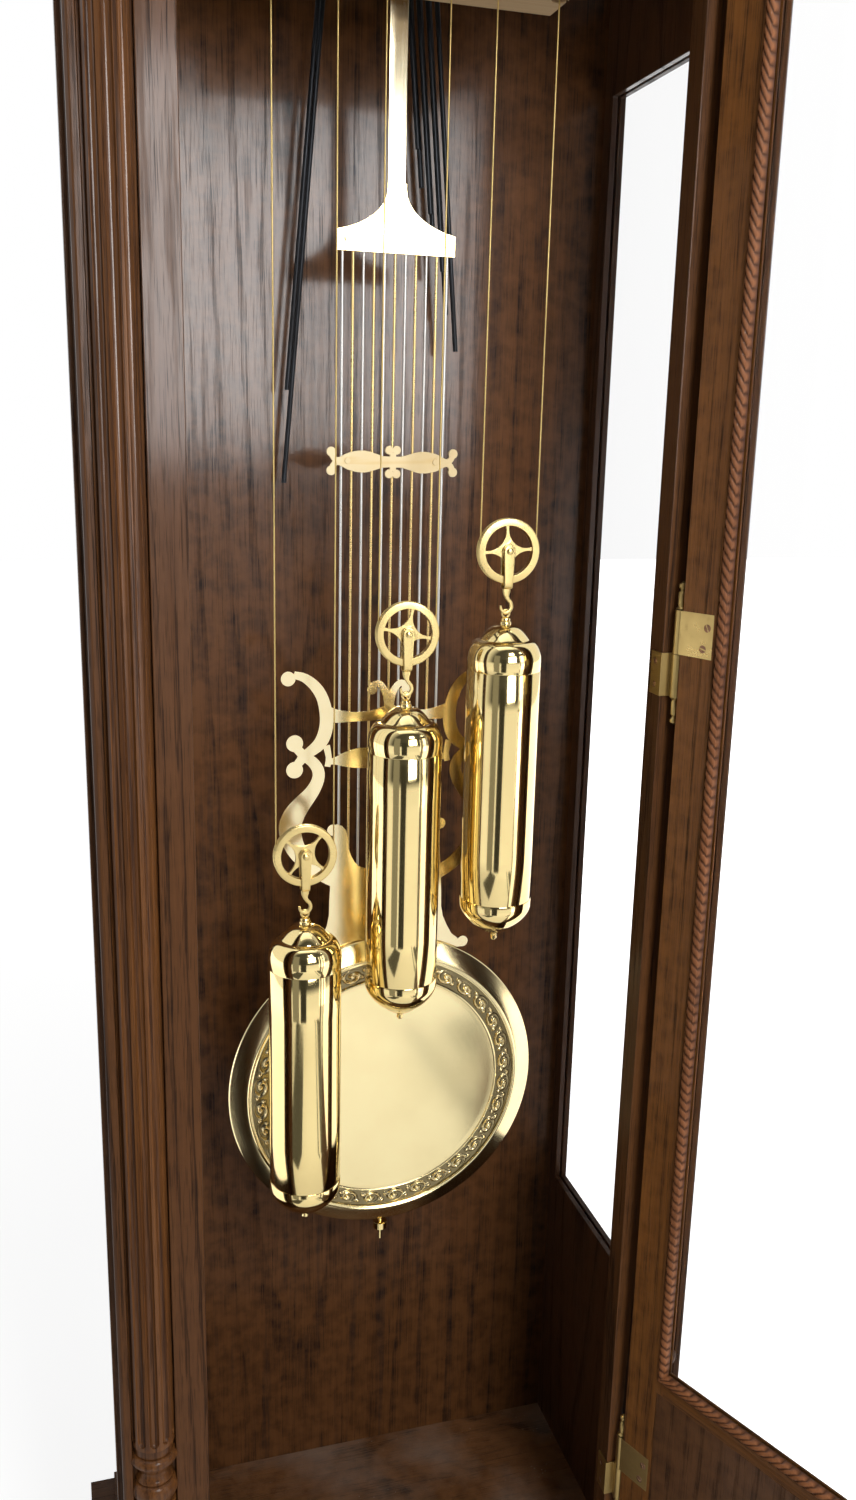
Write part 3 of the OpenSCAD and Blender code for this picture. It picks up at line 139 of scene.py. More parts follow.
def empty_material(name):
    """New material with an empty node tree."""
    mat = bpy.data.materials.new(name)
    mat.use_nodes = True
    mat.node_tree.nodes.clear()
    return mat, mat.node_tree


def sheet(name, w, h):
    """Flat sheet 2w by 2h at height 0, with the tree of its still empty material."""
    mesh = bpy.data.meshes.new(name)
    mesh.from_pydata([(-w, -h, 0), (w, -h, 0), (w, h, 0), (-w, h, 0)], [], [(0, 1, 2, 3)])
    mat, tree = empty_material(name)
    mesh.materials.append(mat)
    return linked(name, mesh), tree


def facing(at, target):
    """Matrix that stands at a place with its Z axis away from the target, so that a lamp shines on the target."""
    away = Vector(at) - Vector(target)
    return Matrix.Translation(at) @ away.to_track_quat("Z", "Y").to_matrix().to_4x4()


def studio_world():
    """Faint even light, and plain white where the camera, a mirror or glass looks at it.

    Mirrors see the dark half of the room above and behind the camera: white less 0.93 where y < -0.4 and z > 0."""
    world = bpy.data.worlds.new("studio")
    world.use_nodes = True
    tree = world.node_tree
    tree.nodes.clear()
    toward = xyz(source(tree, "TexCoord", "Generated"))
    path = put("LightPath", {}, tree)
    behind = mul(between(toward["Y"], -0.25, -0.6), between(toward["Z"], -0.06, 0.04))
    strength = mul_add(mul(behind, path["Is Glossy Ray"]), -0.93, 1)
    soft = put("Background", {"Color": WHITE, "Strength": 0.12}, tree)
    white = put("Background", {"Color": WHITE, "Strength": strength})
    sees = most(path["Is Camera Ray"], most(path["Is Glossy Ray"], path["Is Transmission Ray"]))
    mix = put("MixShader", {0: sees, 1: soft[0], 2: white[0]})
    put("OutputWorld", {0: mix[0]})
    scene.world = world


def studio_floor():
    """Flat square at height 0. Its own grey shows in the object's shadow, and a lift turns the rest white.

    The lift grows with the distance r: 0.8 up to 1.2 m and 0.96 from 4 m on, so that no horizon shows."""
    floor, tree = sheet("studio_floor", FLOOR_HALF, FLOOR_HALF)
    paint = put("BsdfDiffuse", {"Color": FLOOR_GREY}, tree)
    path = put("LightPath", {}, tree)
    r = put("VectorMath", {0: source(tree, "TexCoord", "Object")}, operation="LENGTH")["Value"]
    plain = mul(most(path["Is Camera Ray"], path["Is Transmission Ray"]), between(r, 1.2, 4, 0.8, 0.96))
    mirrored = between(r, 1.7, 3.2, 0.36, 0.9)
    lift = put("Emission", {"Strength": mul_add(path["Is Glossy Ray"], mirrored, plain)})
    both = put("AddShader", {0: paint[0], 1: lift[0]})
    put("OutputMaterial", {0: both[0]})


def softbox(name, at, target, size, watts):
    """Rectangular lamp at a place, turned to a target."""
    data = bpy.data.lights.new(name, "AREA")
    data.shape = "RECTANGLE"
    data.size, data.size_y = size
    data.energy = watts
    linked(name, data).matrix_world = facing(at, target)


def dark_card(name, at, target, size, value):
    """Dark card of even grey: only polished surfaces see it, as the dark bands in their reflections."""
    card, tree = sheet(name, size[0] / 2, size[1] / 2)
    card.matrix_world = facing(at, target)
    grey = put("Emission", {"Color": (value, value, value * 0.95, 1), "Strength": 1}, tree)
    put("OutputMaterial", {0: grey[0]})
    card.visible_camera = card.visible_diffuse = card.visible_shadow = card.visible_transmission = False


studio_world()
studio_floor()
for name, at, target, size, watts in (
        ("high", (0.35, -2.6, 2.95), (0, 0, 1.1), (0.6, 0.35), 34),
        ("front", (0.38, -2.5, 1.84), (-0.1, 0, 1.6), (1.05, 0.92), 29),
        ("right", (1.9, -2.2, 1.3), (0.1, 0, 1.2), (1, 2), 12),
        ("overhead", (0, -0.8, 4.2), (0, 0, 1), (3, 2), 16)):
    softbox("lamp_" + name, at, target, size, watts)
for name, at, target, size, value in (
        ("left", (-1.45, -1.75, 1.2), (-0.1, 0, 1.2), (0.75, 2.4), 0.28),
        ("middle", (-0.62, -2, 0.9), (0, 0, 0.9), (0.62, 1.7), 0.045),
        ("right", (1.12, -1.62, 1.2), (0, 0, 1.2), (0.16, 2.4), 0.1),
        ("far_right", (1.75, -0.95, 1.2), (0, 0, 1.2), (0.55, 2.4), 0.07),
        ("floor_left", (-0.95, -1.3, 0.02), (-0.95, -1.3, 1), (0.75, 1.1), 0.1),
        ("floor_right", (0.67, -1.6, 0.02), (0.67, -1.6, 1), (0.07, 1.3), 0.22),
        ("floor_edge", (0.98, -1.5, 0.02), (0.98, -1.5, 1), (0.3, 1.2), 0.16)):
    dark_card("card_" + name, at, target, size, value)


# -------- case
# The case is stained oak: two thin sides with glass, a veneered back, a face frame and the floor inside.
# The boards are glued to corner posts, their edges are eased by hand, and all of it is satin varnished.

PIN = Vector((0.1855, -0.135, 0))
DOOR_ANGLE = math.radians(113.5)
HALF_DOORWAY, HALF_GLASS = 0.176, 0.1425
OAK_LIGHT, OAK_DARK, OAK_PORE = (0.12, 0.048, 0.015), (0.06, 0.022, 0.007), (0.016, 0.007, 0.003)
DUST_GREY, DUST_SCALE = (0.55, 0.5, 0.44), 160
POLISHED_FROM, POLISHED_TO = 1.15, 1.5
OVAL_LENGTH, RING_SLANT = 0.075, 9
ALONG, ACROSS, SIDEWAYS = "XYZ", "ZYX", "YXZ"
home = {node: body for body, members in frame["record"]["behaviour"]["bodies"].items() for node in members}


def group_of(name, build, *floats):
    """Shader node group: a vector and the named floats go in, and what build(tree, given) returns comes out."""
    group = bpy.data.node_groups.new(name, "ShaderNodeTree")
    for label in ("Vector", *floats):
        kind = "NodeSocketVector" if label == "Vector" else "NodeSocketFloat"
        group.interface.new_socket(name=label, in_out="INPUT", socket_type=kind)
    made = build(group, group.nodes.new("NodeGroupInput").outputs)
    for label in made:
        group.interface.new_socket(name=label, in_out="OUTPUT", socket_type="NodeSocketFloat")
    feed(group.nodes.new("NodeGroupOutput"), made)
    return group


def use(group, **inputs):
    """Outputs of a node group placed beside the sockets that feed it."""
    return put("Group", inputs, node_tree=group)


def noise(vector, scale, detail=3, roughness=0.55):
    """Noise from 0 to 1 on a vector, with one scale or with one along each axis."""
    if isinstance(scale, tuple):
        vector, scale = put("VectorMath", {0: vector, 1: scale}, operation="MULTIPLY")[0], 1
    return put("TexNoise", {"Vector": vector, "Scale": scale, "Detail": detail, "Roughness": roughness})["Fac"]


def build_oak(tree, given):
    """Growth rings are long nested ovals, pores are short dark dashes that crowd in the open half of each ring.

    Ring number: sqrt(x^2 + (0.075 z)^2) rings + 9 y + noise; its fraction runs through one ring."""
    v = given["Vector"]
    bent = add(mul(noise(v, (6, 6, 0.9), 2), 2.6), mul(noise(v, (26, 26, 3.2)), 0.32))
    apart = xyz(v)
    oval = calc("SQRT", add(calc("POWER", calc("ABSOLUTE", apart["X"]), 2),
                            calc("POWER", mul(apart["Z"], OVAL_LENGTH), 2)))
    ring = calc("FRACT", add(add(mul(oval, given["Rings"]), bent), mul(apart["Y"], RING_SLANT)))
    early = mul(between(ring, 0, 0.05), between(ring, 0.1, 0.42, 1, 0))
    gate = between(noise(v, (40, 40, 4), 2), 0.36, 0.56)
    dash = noise(v, (900, 900, 14), 2, 0.6)
    dash_fine = noise(v, (1700, 1700, 40), 1, 0.5)
    crowd = mul(mul(early, gate), 0.17)
    pores = most(between(add(dash, crowd), 0.635, 0.69), mul(between(add(dash_fine, crowd), 0.6, 0.68), 0.6))
    lick = noise(v, (66, 66, 2.8), 3, 0.5)
    fray = noise(v, (600, 600, 22), 2)
    return {"Rings": early, "Pores": pores, "Fibre": noise(v, (420, 420, 5), 3, 0.6),
            "Tone": noise(v, (5, 5, 0.7), 2), "Flame": between(add(lick, mul(fray, 0.22)), 0.68, 0.76)}


def build_wear_and_shade(tree, given):
    """Edges bend more than faces, so the mesh's own sharpness picks them out as wear, broken up by noise; hollows bend
    inwards and pick out painted shade.
    """
    sharp = source(tree, "NewGeometry", "Pointiness")
    breaks = between(noise(given["Vector"], 60), 0.35, 0.6)
    return {"Edge": mul(between(sharp, 0.505, 0.56), breaks), "Hollow": between(sharp, 0.495, 0.44)}


def build_dust(tree, given):
    """Dust lies in specks and a thin film on what faces up."""
    v = given["Vector"]
    up = between(xyz(source(tree, "NewGeometry", "Normal"))["Z"], 0.55, 0.95)
    speck = put("TexVoronoi", {"Vector": v, "Scale": DUST_SCALE}, feature="F1")["Distance"]
    dots = mul(between(speck, 0.1, 0.05), between(noise(v, 23, 2), 0.52, 0.62))
    film = between(noise(v, 9, 4), 0.45, 0.75, 0, 0.35)
    return {"Dust": mul(up, most(dots, film))}


oak_group = group_of("oak_grain", build_oak, "Rings")
wear_shade_group = group_of("edge_wear_hollow_shade", build_wear_and_shade)
dust_group = group_of("dust", build_dust)


def blended(amount, a, b):
    """Colour a (1 - amount) + b amount, for an amount from 0 to 1."""
    a, b = ((*c, 1) if isinstance(c, tuple) else c for c in (a, b))
    return put("Mix", {0: amount, 6: a, 7: b}, data_type="RGBA", clamp_factor=True)[2]


def layered(base, *layers):
    """Base colour under layers, each a share from 0 to 1 and its colour."""
    for amount, colour in layers:
        base = blended(amount, base, colour)
    return base


def shaded_relief(tree, base, groove_shade):
    """Base colour darkened by painted shade where the mesh's own relief attribute is low, in its grooves."""
    height = source(tree, "Attribute", "Fac", attribute_name="relief")
    return blended(between(height, 0, 0.75, 0.85, 0), base, groove_shade)


def bumped(height, strength, distance):
    """Normal bent by a height."""
    return put("Bump", {"Height": height, "Strength": strength, "Distance": distance})[0]


def shader_of(name):
    """New material with its tree, its Principled shader and the object position."""
    mat, tree = empty_material(name)
    closure = source(tree, "BsdfPrincipled", 0)
    put("OutputMaterial", {0: closure})
    return mat, tree, closure.node, source(tree, "TexCoord", "Object")


def grain_vector(v, grain, centre, turned=False, rails=0):
    """Position with the grain along Z: swapped axes for boards that run across, and for rails in a frame."""
    if turned:
        back = Matrix.Rotation(-DOOR_ANGLE, 3, "Z")
        v = put("Mapping", {"Vector": v, "Location": PIN - back @ PIN, "Rotation": (0, 0, -DOOR_ANGLE)})[0]
    apart = xyz(put("VectorMath", {0: v, 1: centre}, operation="SUBTRACT")[0])

    def order(axes):
        """The parts of the position in the order of the axes' letters."""
        return put("CombineXYZ", {i: apart[axis] for i, axis in enumerate(axes)})[0]

    if not rails:
        return order(grain)
    within = calc("LESS_THAN", calc("ABSOLUTE", apart["X"]), rails)
    return put("Mix", {0: within, 4: order(ALONG), 5: order(ACROSS)}, data_type="VECTOR")[1]


def oak(name, light=OAK_LIGHT, dark=OAK_DARK, pore=OAK_PORE, grain=ALONG, centre=(0, 0, 0), turned=False, rails=0,
        rings=55, rough=0.42, depth=0.00025, dusty=0, streaks=1, varnish=0.7, dull=0.12, relief=False,
        fibrous=0.35, flamed=0.3):
    """Stained oak: ring tone, pores, fibre and slow tone over the board, worn edges, painted shade in hollows and, with
    relief, in the grooves, varnish with open pores.

    The coat is varnish x polish(z) x (1 - 0.6 max(pores, flame)): still glossy high up, rubbed dull below."""
    mat, tree, shader, at = shader_of(name)
    v = grain_vector(at, grain, centre, turned, rails)
    figure = use(oak_group, Vector=v, Rings=rings)
    pores, fibre, flame = figure["Pores"], figure["Fibre"], figure["Flame"]
    wear_shade = use(wear_shade_group, Vector=v)
    tone = mul(between(figure["Tone"], 0.3, 0.7), 0.45)
    base = blended(mul_add(figure["Rings"], 0.3, tone), light, dark)
    # The last layer is painted shade: hollows darkened towards the pore colour.
    base = layered(base, (mul(between(fibre, 0.38, 0.64), fibrous), dark),
                   (mul(flame, flamed), tuple(0.5 * c + 0.006 for c in dark)), (mul(pores, 0.85 * streaks), pore),
                   (mul(wear_shade["Edge"], 0.35), tuple(min(1, c * 1.7) for c in light)), (mul(wear_shade["Hollow"], 0.45), pore))
    roughness = mul_add(pores, 0.22, mul_add(fibre, 0.1, rough - 0.05))
    if dusty:
        dust = mul(use(dust_group, Vector=at)["Dust"], dusty)
        base = blended(dust, base, DUST_GREY)
        roughness = most(roughness, mul(dust, 0.9))
    if relief:
        # Painted shade in the grooves of the relief, in the pore colour.
        base = shaded_relief(tree, base, pore)
    polish = between(xyz(at)["Z"], POLISHED_FROM, POLISHED_TO, dull, 1)
    closed = mul_add(most(pores, flame), -0.6, 1)
    height = calc("SUBTRACT", mul(fibre, 0.25), mul(pores, streaks))
    feed(shader, {"Base Color": base, "Roughness": roughness, "Coat Weight": mul(mul(polish, closed), varnish),
                  "Coat Roughness": 0.13, "Specular IOR Level": 0.1, "Normal": bumped(height, 0.7, depth)})
    return mat


def painted(mesh, material):
    """Gives a mesh one material in place of those that it has."""
    mesh.materials.clear()
    mesh.materials.append(material)


def new_piece(name, mesh, body, material, replaced=(), smooth=None):
    """Links a finished mesh as a piece that rides on a body, or on none where a joint bends it."""
    obj = linked(name, mesh)
    painted(mesh, material)
    if smooth is not None:
        mesh.shade_smooth()
        mesh.set_sharp_from_angle(angle=math.radians(smooth))
    if body:
        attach(obj, body)
    if replaced:
        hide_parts(*replaced)
    return obj


def tidied(mesh, merge=1e-6, flat=0):
    """Doubles merged within a distance, then triangles joined up to an angle, or else faces turned outwards."""
    bm = bmesh.new()
    bm.from_mesh(mesh)
    if merge:
        bmesh.ops.remove_doubles(bm, verts=bm.verts, dist=merge)
    if flat:
        bmesh.ops.dissolve_limit(bm, angle_limit=math.radians(flat), verts=bm.verts, edges=bm.edges)
    else:
        bmesh.ops.recalc_face_normals(bm, faces=bm.faces)
    bm.to_mesh(mesh)
    bm.free()
    return mesh


def merged_copy(node):
    """Copy of a CAD node's mesh with its loose triangles joined into flat and round faces."""
    return tidied(frame["nodes"][node].data.copy(), 2e-6, 0.6)


def eased(node, material, width=0.0003, smooth=32, limit=38):
    """The CAD node's own form with its sharp edges rounded by a small radius."""
    obj = new_piece(node + "_eased", merged_copy(node), home[node], material, (node,), smooth)
    if width:
        bevel = obj.modifiers.new("eased_edges", "BEVEL")
        bevel.width = width
        bevel.segments = 2
        bevel.limit_method = "ANGLE"
        bevel.angle_limit = math.radians(limit)
        bevel.harden_normals = bevel.use_clamp_overlap = True


def pane_glass():
    """Clear float glass with a trace of smears in its polish. A low index keeps what stands behind it in place."""
    mat, _, shader, at = shader_of("pane_glass")
    smear = between(noise(at, (9, 9, 3), 4), 0.4, 0.8, 0, 0.03)
    feed(shader, {"Base Color": WHITE, "Transmission Weight": 1, "IOR": 1.12, "Roughness": smear})
    return mat


back_oak = oak("back_veneer", (0.096, 0.038, 0.012), (0.04, 0.015, 0.005), (0.008, 0.005, 0.004),
               centre=(-0.07, 0.1, 1.52), rings=45, rough=0.36, depth=0.00012, varnish=0.82, dull=0.05,
               fibrous=0.55, flamed=0.85)
side_oak = oak("side_oak", (0.07, 0.028, 0.011), (0.036, 0.014, 0.006), grain=SIDEWAYS, centre=(0, 0.03, 1.2),
               rough=0.4)
frame_oak = oak("frame_oak", centre=(0, 0.3, 1.7), rails=HALF_DOORWAY, rings=90)
floor_oak = oak("floor_oak", (0.12, 0.052, 0.02), (0.066, 0.027, 0.01), grain=ACROSS, centre=(0.1, 0.05, 0.4),
                rings=80, rough=0.4, dusty=0.5)
painted(frame["nodes"]["back_panel"].data, back_oak)
for side in ("left", "right"):
    eased("side_panel_" + side, side_oak, 0.0008)
eased("front_frame", frame_oak, 0.0016)
painted(frame["nodes"]["trunk_floor"].data, floor_oak)
glass = pane_glass()
for node in ("side_windows", "door_glass"):
    painted(frame["nodes"][node].data, glass)


# -------- columns
# Half columns of solid oak stand in a recess of each stile: a turned base and cap, and five flutes.
# The shaft is turned whole, fluted with a round cutter that runs out in a scoop, then split and glued on.

COLUMN_AT, COLUMN_TAIL = (0.2185, -0.122), -0.006
COLUMN_LOW, COLUMN_HIGH, TURNED = 0.6, 2.12, 0.067
COLUMN_R, FLUTE_R, FLUTE_OUT, FLUTES = 0.0165, 0.0036, 0.0169, 5
SLIVER = 1e-4


def circle(count):
    """Angles evenly once round, from 0."""
    return np.linspace(0, 2 * np.pi, count, endpoint=False)


def grid(*parts):
    """Points whose coordinates are the given arrays, numbers spread to their shape."""
    return np.stack(np.broadcast_arrays(*parts), axis=-1)


def grid_mesh(name, grids, close_u=False, cap_ends=False):
    """Mesh of n by m grids of points. Rows run along u, and columns close round v; open ends may be capped."""
    verts, faces = [], []
    for points in grids:
        n, m = points.shape[:2]
        index = len(verts) + np.arange(n * m).reshape(n, m)
        down = np.concatenate([index, index[:1]]) if close_u else index
        full = np.concatenate([down, down[:, :1]], axis=1)
        faces += grid(full[:-1, :-1], full[:-1, 1:], full[1:, 1:], full[1:, :-1]).reshape(-1, 4).tolist()
        if cap_ends:
            faces += [index[0][::-1].tolist(), index[-1].tolist()]
        verts += points.reshape(-1, 3).tolist()
    mesh = bpy.data.meshes.new(name)
    mesh.from_pydata(verts, [], faces)
    return mesh


def turned_profile():
    """Radius and height of the turned base, in metres: drum, torus, scotia, torus and the neck under the shaft."""
    a = np.linspace(-np.pi / 2, np.pi / 2, 17)
    b = np.linspace(0, np.pi, 13)
    torus = grid(14 + 4.5 * np.cos(a), 25 + 8 * np.sin(a))
    scotia = grid(14.5 - 2.5 * np.sin(b), 35 + 12 * b / np.pi)
    upper = grid(14 + 5 * np.cos(a), 54 + 5 * np.sin(a))
    drum = [[16, 0], [16.5, 0.6], [16.5, 11.4], [15.9, 12.1], [14.5, 12.6], [14.1, 14], [14, 16.6]]
    rows = [drum, torus, [[14.4, 33.6], [14.6, 34.4]], scotia, [[14.6, 48.2]], upper,
            [[15.2, 59.6], [15.4, 61], [15.2, 67]]]
    return np.concatenate([np.array(r, float) for r in rows]) / 1000


def fluted_half_column(side):
    """r(angle, z): the flute circle seen from the axis, d cos a - sqrt(f^2 - d^2 sin^2 a); f shrinks in the scoops."""
    theta = np.linspace(0, np.pi, 241)
    low, high = COLUMN_LOW + TURNED, COLUMN_HIGH - TURNED
    scoop = FLUTE_R * np.sin(np.linspace(0, np.pi / 2, 12))
    start, stop = low + 2 * FLUTE_R, high - 2 * FLUTE_R
    z = np.concatenate([[low, start - FLUTE_R - SLIVER], start - scoop[::-1], np.linspace(start, stop, 25)[1:-1],
                        stop + scoop, [stop + FLUTE_R + SLIVER, high]])
    over = np.maximum(start - z, 0) + np.maximum(z - stop, 0)
    f2 = np.maximum(FLUTE_R ** 2 - over ** 2, 0)[:, None]
    centres = np.pi * (np.arange(FLUTES) + 0.5) / FLUTES
    off = np.abs(theta[:, None] - centres).min(axis=1)
    reach2 = (FLUTE_OUT * np.sin(off)) ** 2
    cut = FLUTE_OUT * np.cos(off) - np.sqrt(np.maximum(f2 - reach2, 0))
    shaft = np.where(f2 > reach2, np.minimum(cut, COLUMN_R), COLUMN_R)
    base = turned_profile()
    foot = np.repeat(base[:, :1], len(theta), axis=1)
    r = np.concatenate([foot, shaft, foot[::-1]])
    z = np.concatenate([COLUMN_LOW + base[:, 1], z, COLUMN_HIGH - base[::-1, 1]])
    x, y = r * np.cos(theta), -r * np.sin(theta)
    x = np.where(y > COLUMN_TAIL, np.clip(x, -COLUMN_R, COLUMN_R), x)
    points = grid(side * (COLUMN_AT[0] + x), COLUMN_AT[1] + y, z[:, None])
    return tidied(grid_mesh("fluted_column", [points], cap_ends=True))


column_oak = oak("column_oak", (0.18, 0.068, 0.017), (0.062, 0.022, 0.007), (0.02, 0.008, 0.004),
                 centre=(0, 0.2, 1.3), rings=120, rough=0.38, streaks=0.8, varnish=1, dull=0.25, fibrous=0.8)
for label, side in (("left", -1), ("right", 1)):
    new_piece("turned_column_" + label, fluted_half_column(side), "case", column_oak,
              ("fluted_column_" + label,), smooth=28)


# -------- base
# The base cabinet stands on bracket feet: carcase, raised panel and a coved moulding up to the trunk.
# Mouldings are run in oak, mitred at the front corners and glued.

base_oak = oak("base_oak", centre=(0.05, 0.2, 0.2), rings=70)
moulding_oak = oak("moulding_oak", grain=ACROSS, centre=(0, 0.1, 0.3), rings=90)
for node, material, width in (("plinth", moulding_oak, 0.002), ("base_carcase", base_oak, 0.0016),
                              ("base_panel", base_oak, 0.001), ("waist_moulding", moulding_oak, 0.0008)):
    eased(node, material, width)


# -------- crown
# Top board, cornice, arched pediment with a disc, and a turned finial, all in the same oak.
# The cornice is built of two mouldings, and the finial is doweled on a flat of the arch.

for node, width in (("top_board", 0.0015), ("cornice", 0.0006), ("pediment", 0.001)):
    eased(node, moulding_oak, width)


def lathe(profile, centre, segments, axis="Z"):
    """Profile rows (radius, height) turned about an axis: (r cos t, r sin t, h), poles closed by merging.

    A profile that ends where it starts makes a ring; any other open end is capped."""
    profile = np.asarray(profile, float)
    t, r, h = circle(segments), profile[:, :1], profile[:, 1:]
    a, b = r * np.cos(t), r * np.sin(t)
    points = (grid(a, b, h) if axis == "Z" else grid(a, h, b)) + centre
    capped = not np.allclose(profile[0], profile[-1]) and max(profile[0, 0], profile[-1, 0]) > 1e-6
    return tidied(grid_mesh("turned", [points], cap_ends=capped), 1e-7)


def rounded(profile, steps):
    """Catmull-Rom curve through the profile's points, so that a turning has soft swells."""
    p = np.asarray(profile, float)
    p = np.concatenate([[2 * p[0] - p[1]], p, [2 * p[-1] - p[-2]]])
    t = np.linspace(0, 1, steps, endpoint=False)[:, None]
    parts = [0.5 * (2 * p[i] + (p[i + 1] - p[i - 1]) * t
                    + (2 * p[i - 1] - 5 * p[i] + 4 * p[i + 1] - p[i + 2]) * t ** 2
                    + (3 * p[i] - p[i - 1] - 3 * p[i + 1] + p[i + 2]) * t ** 3) for i in range(1, len(p) - 2)]
    return np.concatenate(parts + [p[-2:-1]])


FINIAL_R, FINIAL_H = 0.018, 0.078
lo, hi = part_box("finial")
finial_rows = np.array([[13, 0], [13, 6], [8, 9], [6, 14], [7, 17], [14, 22], [18, 31], [17, 40], [11, 48], [6, 52],
                        [5, 55], [8, 58], [8, 61], [5, 64], [3.5, 72], [0, 78]]) / 1000
finial_rows[:, 1] *= (hi[2] - lo[2]) / FINIAL_H
finial_curve = np.concatenate([[[0, 0]], finial_rows[:2], rounded(finial_rows[2:], 8)])
finial_curve[:, 0] = np.clip(finial_curve[:, 0], 0, FINIAL_R)
new_piece("turned_finial", lathe(finial_curve, ((lo[0] + hi[0]) / 2, (lo[1] + hi[1]) / 2, lo[2]), 64),
          "case", column_oak, ("finial",), smooth=40)


# -------- door
# The full-length door is a mortised oak frame with a fielded panel below and a pane above.
# A twisted rope bead of reddish wood, mitred at the corners, is pinned over the glass; the knob is turned brass.

DOOR_HALF = 0.1805
BEAD_R, BEAD_HALF = 0.00325, 0.149
BEAD_LOW, BEAD_HIGH = 0.6685, 2.1155
BEAD_FOOT, BEAD_RISE = -0.1375, 0.0054
ROPE_PITCH, TWIST = 0.0077, 1.45
BEAD_ROUND, BEAD_TURN = 20, 11


def opened(points):
    """Points of the closed door turned about the hinge pin to the photographed angle."""
    back = np.array(Matrix.Rotation(DOOR_ANGLE, 3, "Z"))
    pin = np.array(PIN)
    return (points - pin) @ back.T + pin


def stamped(mesh, values):
    """Keeps a relief value from 0 in the grooves to 1 on the crests at each vertex, which sets the painted shade in the
    grooves.
    """
    mesh.attributes.new("relief", "FLOAT", "POINT").data.foreach_set("value", np.asarray(values, np.float32))
    return mesh


def rope_bead():
    """Half round of radius R (0.56 + 0.44 |sin(pi (s/p + 1.45 t/pi))|^0.55) whose grooves wind about it, mitred."""
    phi = np.linspace(0, np.pi, BEAD_ROUND)
    parts, shade = [], []
    sides = [("Z", BEAD_LOW, BEAD_HIGH, s * (BEAD_HALF - BEAD_R), s) for s in (-1, 1)]
    sides += [("X", -BEAD_HALF, BEAD_HALF, BEAD_LOW + BEAD_R, -1), ("X", -BEAD_HALF, BEAD_HALF, BEAD_HIGH - BEAD_R, 1)]
    for axis, start, stop, middle, outward in sides:
        length = stop - start
        count = int(round(length / ROPE_PITCH)) * BEAD_TURN + 1
        s = np.linspace(0, 1, count)[:, None]
        turns = s * length / ROPE_PITCH + (TWIST if axis == "Z" else -TWIST) * phi / np.pi
        strand = np.abs(np.sin(np.pi * turns))
        radius = BEAD_R * (0.56 + 0.44 * strand ** 0.55)
        foot = np.full((count, 1), BEAD_R * 0.93)
        level = np.zeros((count, 1))
        across = np.concatenate([foot, radius * np.cos(phi), -foot], axis=1)
        depth = np.concatenate([level, BEAD_RISE + radius * np.sin(phi), level], axis=1)
        shade.append(np.concatenate([level, strand, level], axis=1).ravel())
        short = BEAD_R - across * outward
        along = start + short + s * (length - 2 * short)
        rows = (middle + across, BEAD_FOOT + depth, along)
        parts.append(opened(grid(*(rows if axis == "Z" else rows[::-1]))))
    mesh = tidied(grid_mesh("rope_bead", parts, cap_ends=True), merge=0)
    return stamped(mesh, np.concatenate(shade))


door_oak = oak("door_oak", (0.185, 0.072, 0.017), (0.085, 0.03, 0.008), centre=(0, 0.2, 1.1), turned=True,
               rails=HALF_GLASS, rings=85, varnish=0.12, dull=0.4, fibrous=0.6)
panel_oak = oak("panel_oak", (0.115, 0.05, 0.02), (0.06, 0.024, 0.009), centre=(0.02, -0.1, 0.5), turned=True,
                rings=60, varnish=0.3, dull=0.4)
# The rope bead's grooves get painted shade from its relief values.
bead_wood = oak("bead_wood", (0.25, 0.096, 0.038), (0.15, 0.054, 0.02), (0.03, 0.011, 0.005),
                centre=(0, 0.2, 1.1), turned=True, rings=40, rough=0.5, streaks=0.4, varnish=0.2, relief=True)
eased("door_frame", door_oak, 0.0016)
eased("door_panel", panel_oak, 0.0006)
new_piece("rope_bead", rope_bead(), "trunk_door", bead_wood, ("door_bead",), smooth=62)


# -------- brass
# Lacquered mirror polish, satin spun or brushed plate, matted plate for the dial, and old brass gone brown.
# Lacquer keeps the polish; the old hinges are stained and rubbed bright on their edges.

# The second colour is the painted shade in the grooves of the bob's scroll band.
BRASS_STAIN, BAND_GROOVE_SHADE = (0.56, 0.36, 0.11), (0.11, 0.078, 0.032)
SPUN_FINENESS, LINE_DEPTH, LINES_UP, LINES_ACROSS = 900, 0.00002, (1900, 20, 20), (20, 20, 1900)
BOB_Z, DIAL_Z = 0.878, 1.922


def build_tarnish(tree, given):
    """Slow clouds of tarnish, finer spots, and fine scratches lying both ways."""
    v = given["Vector"]
    return {"Cloud": between(noise(v, 14, 4, 0.6), 0.42, 0.72), "Spot": between(noise(v, 170), 0.6, 0.75),
            "Scratch": most(noise(v, (2600, 60, 240), 2), noise(v, (180, 60, 2400), 2))}


def build_spun(tree, given):
    """Rings left by the polishing wheel round an axis: noise on the distance sqrt(x^2 + z^2) from it."""
    apart = xyz(given["Vector"])
    far = calc("SQRT", add(calc("POWER", apart["X"], 2), calc("POWER", apart["Z"], 2)))
    line = put("CombineXYZ", {0: mul(far, SPUN_FINENESS)})[0]
    return {"Rings": noise(line, 1, 3, 0.7)}


tarnish_group = group_of("tarnish", build_tarnish)
spun_group = group_of("spun_rings", build_spun)


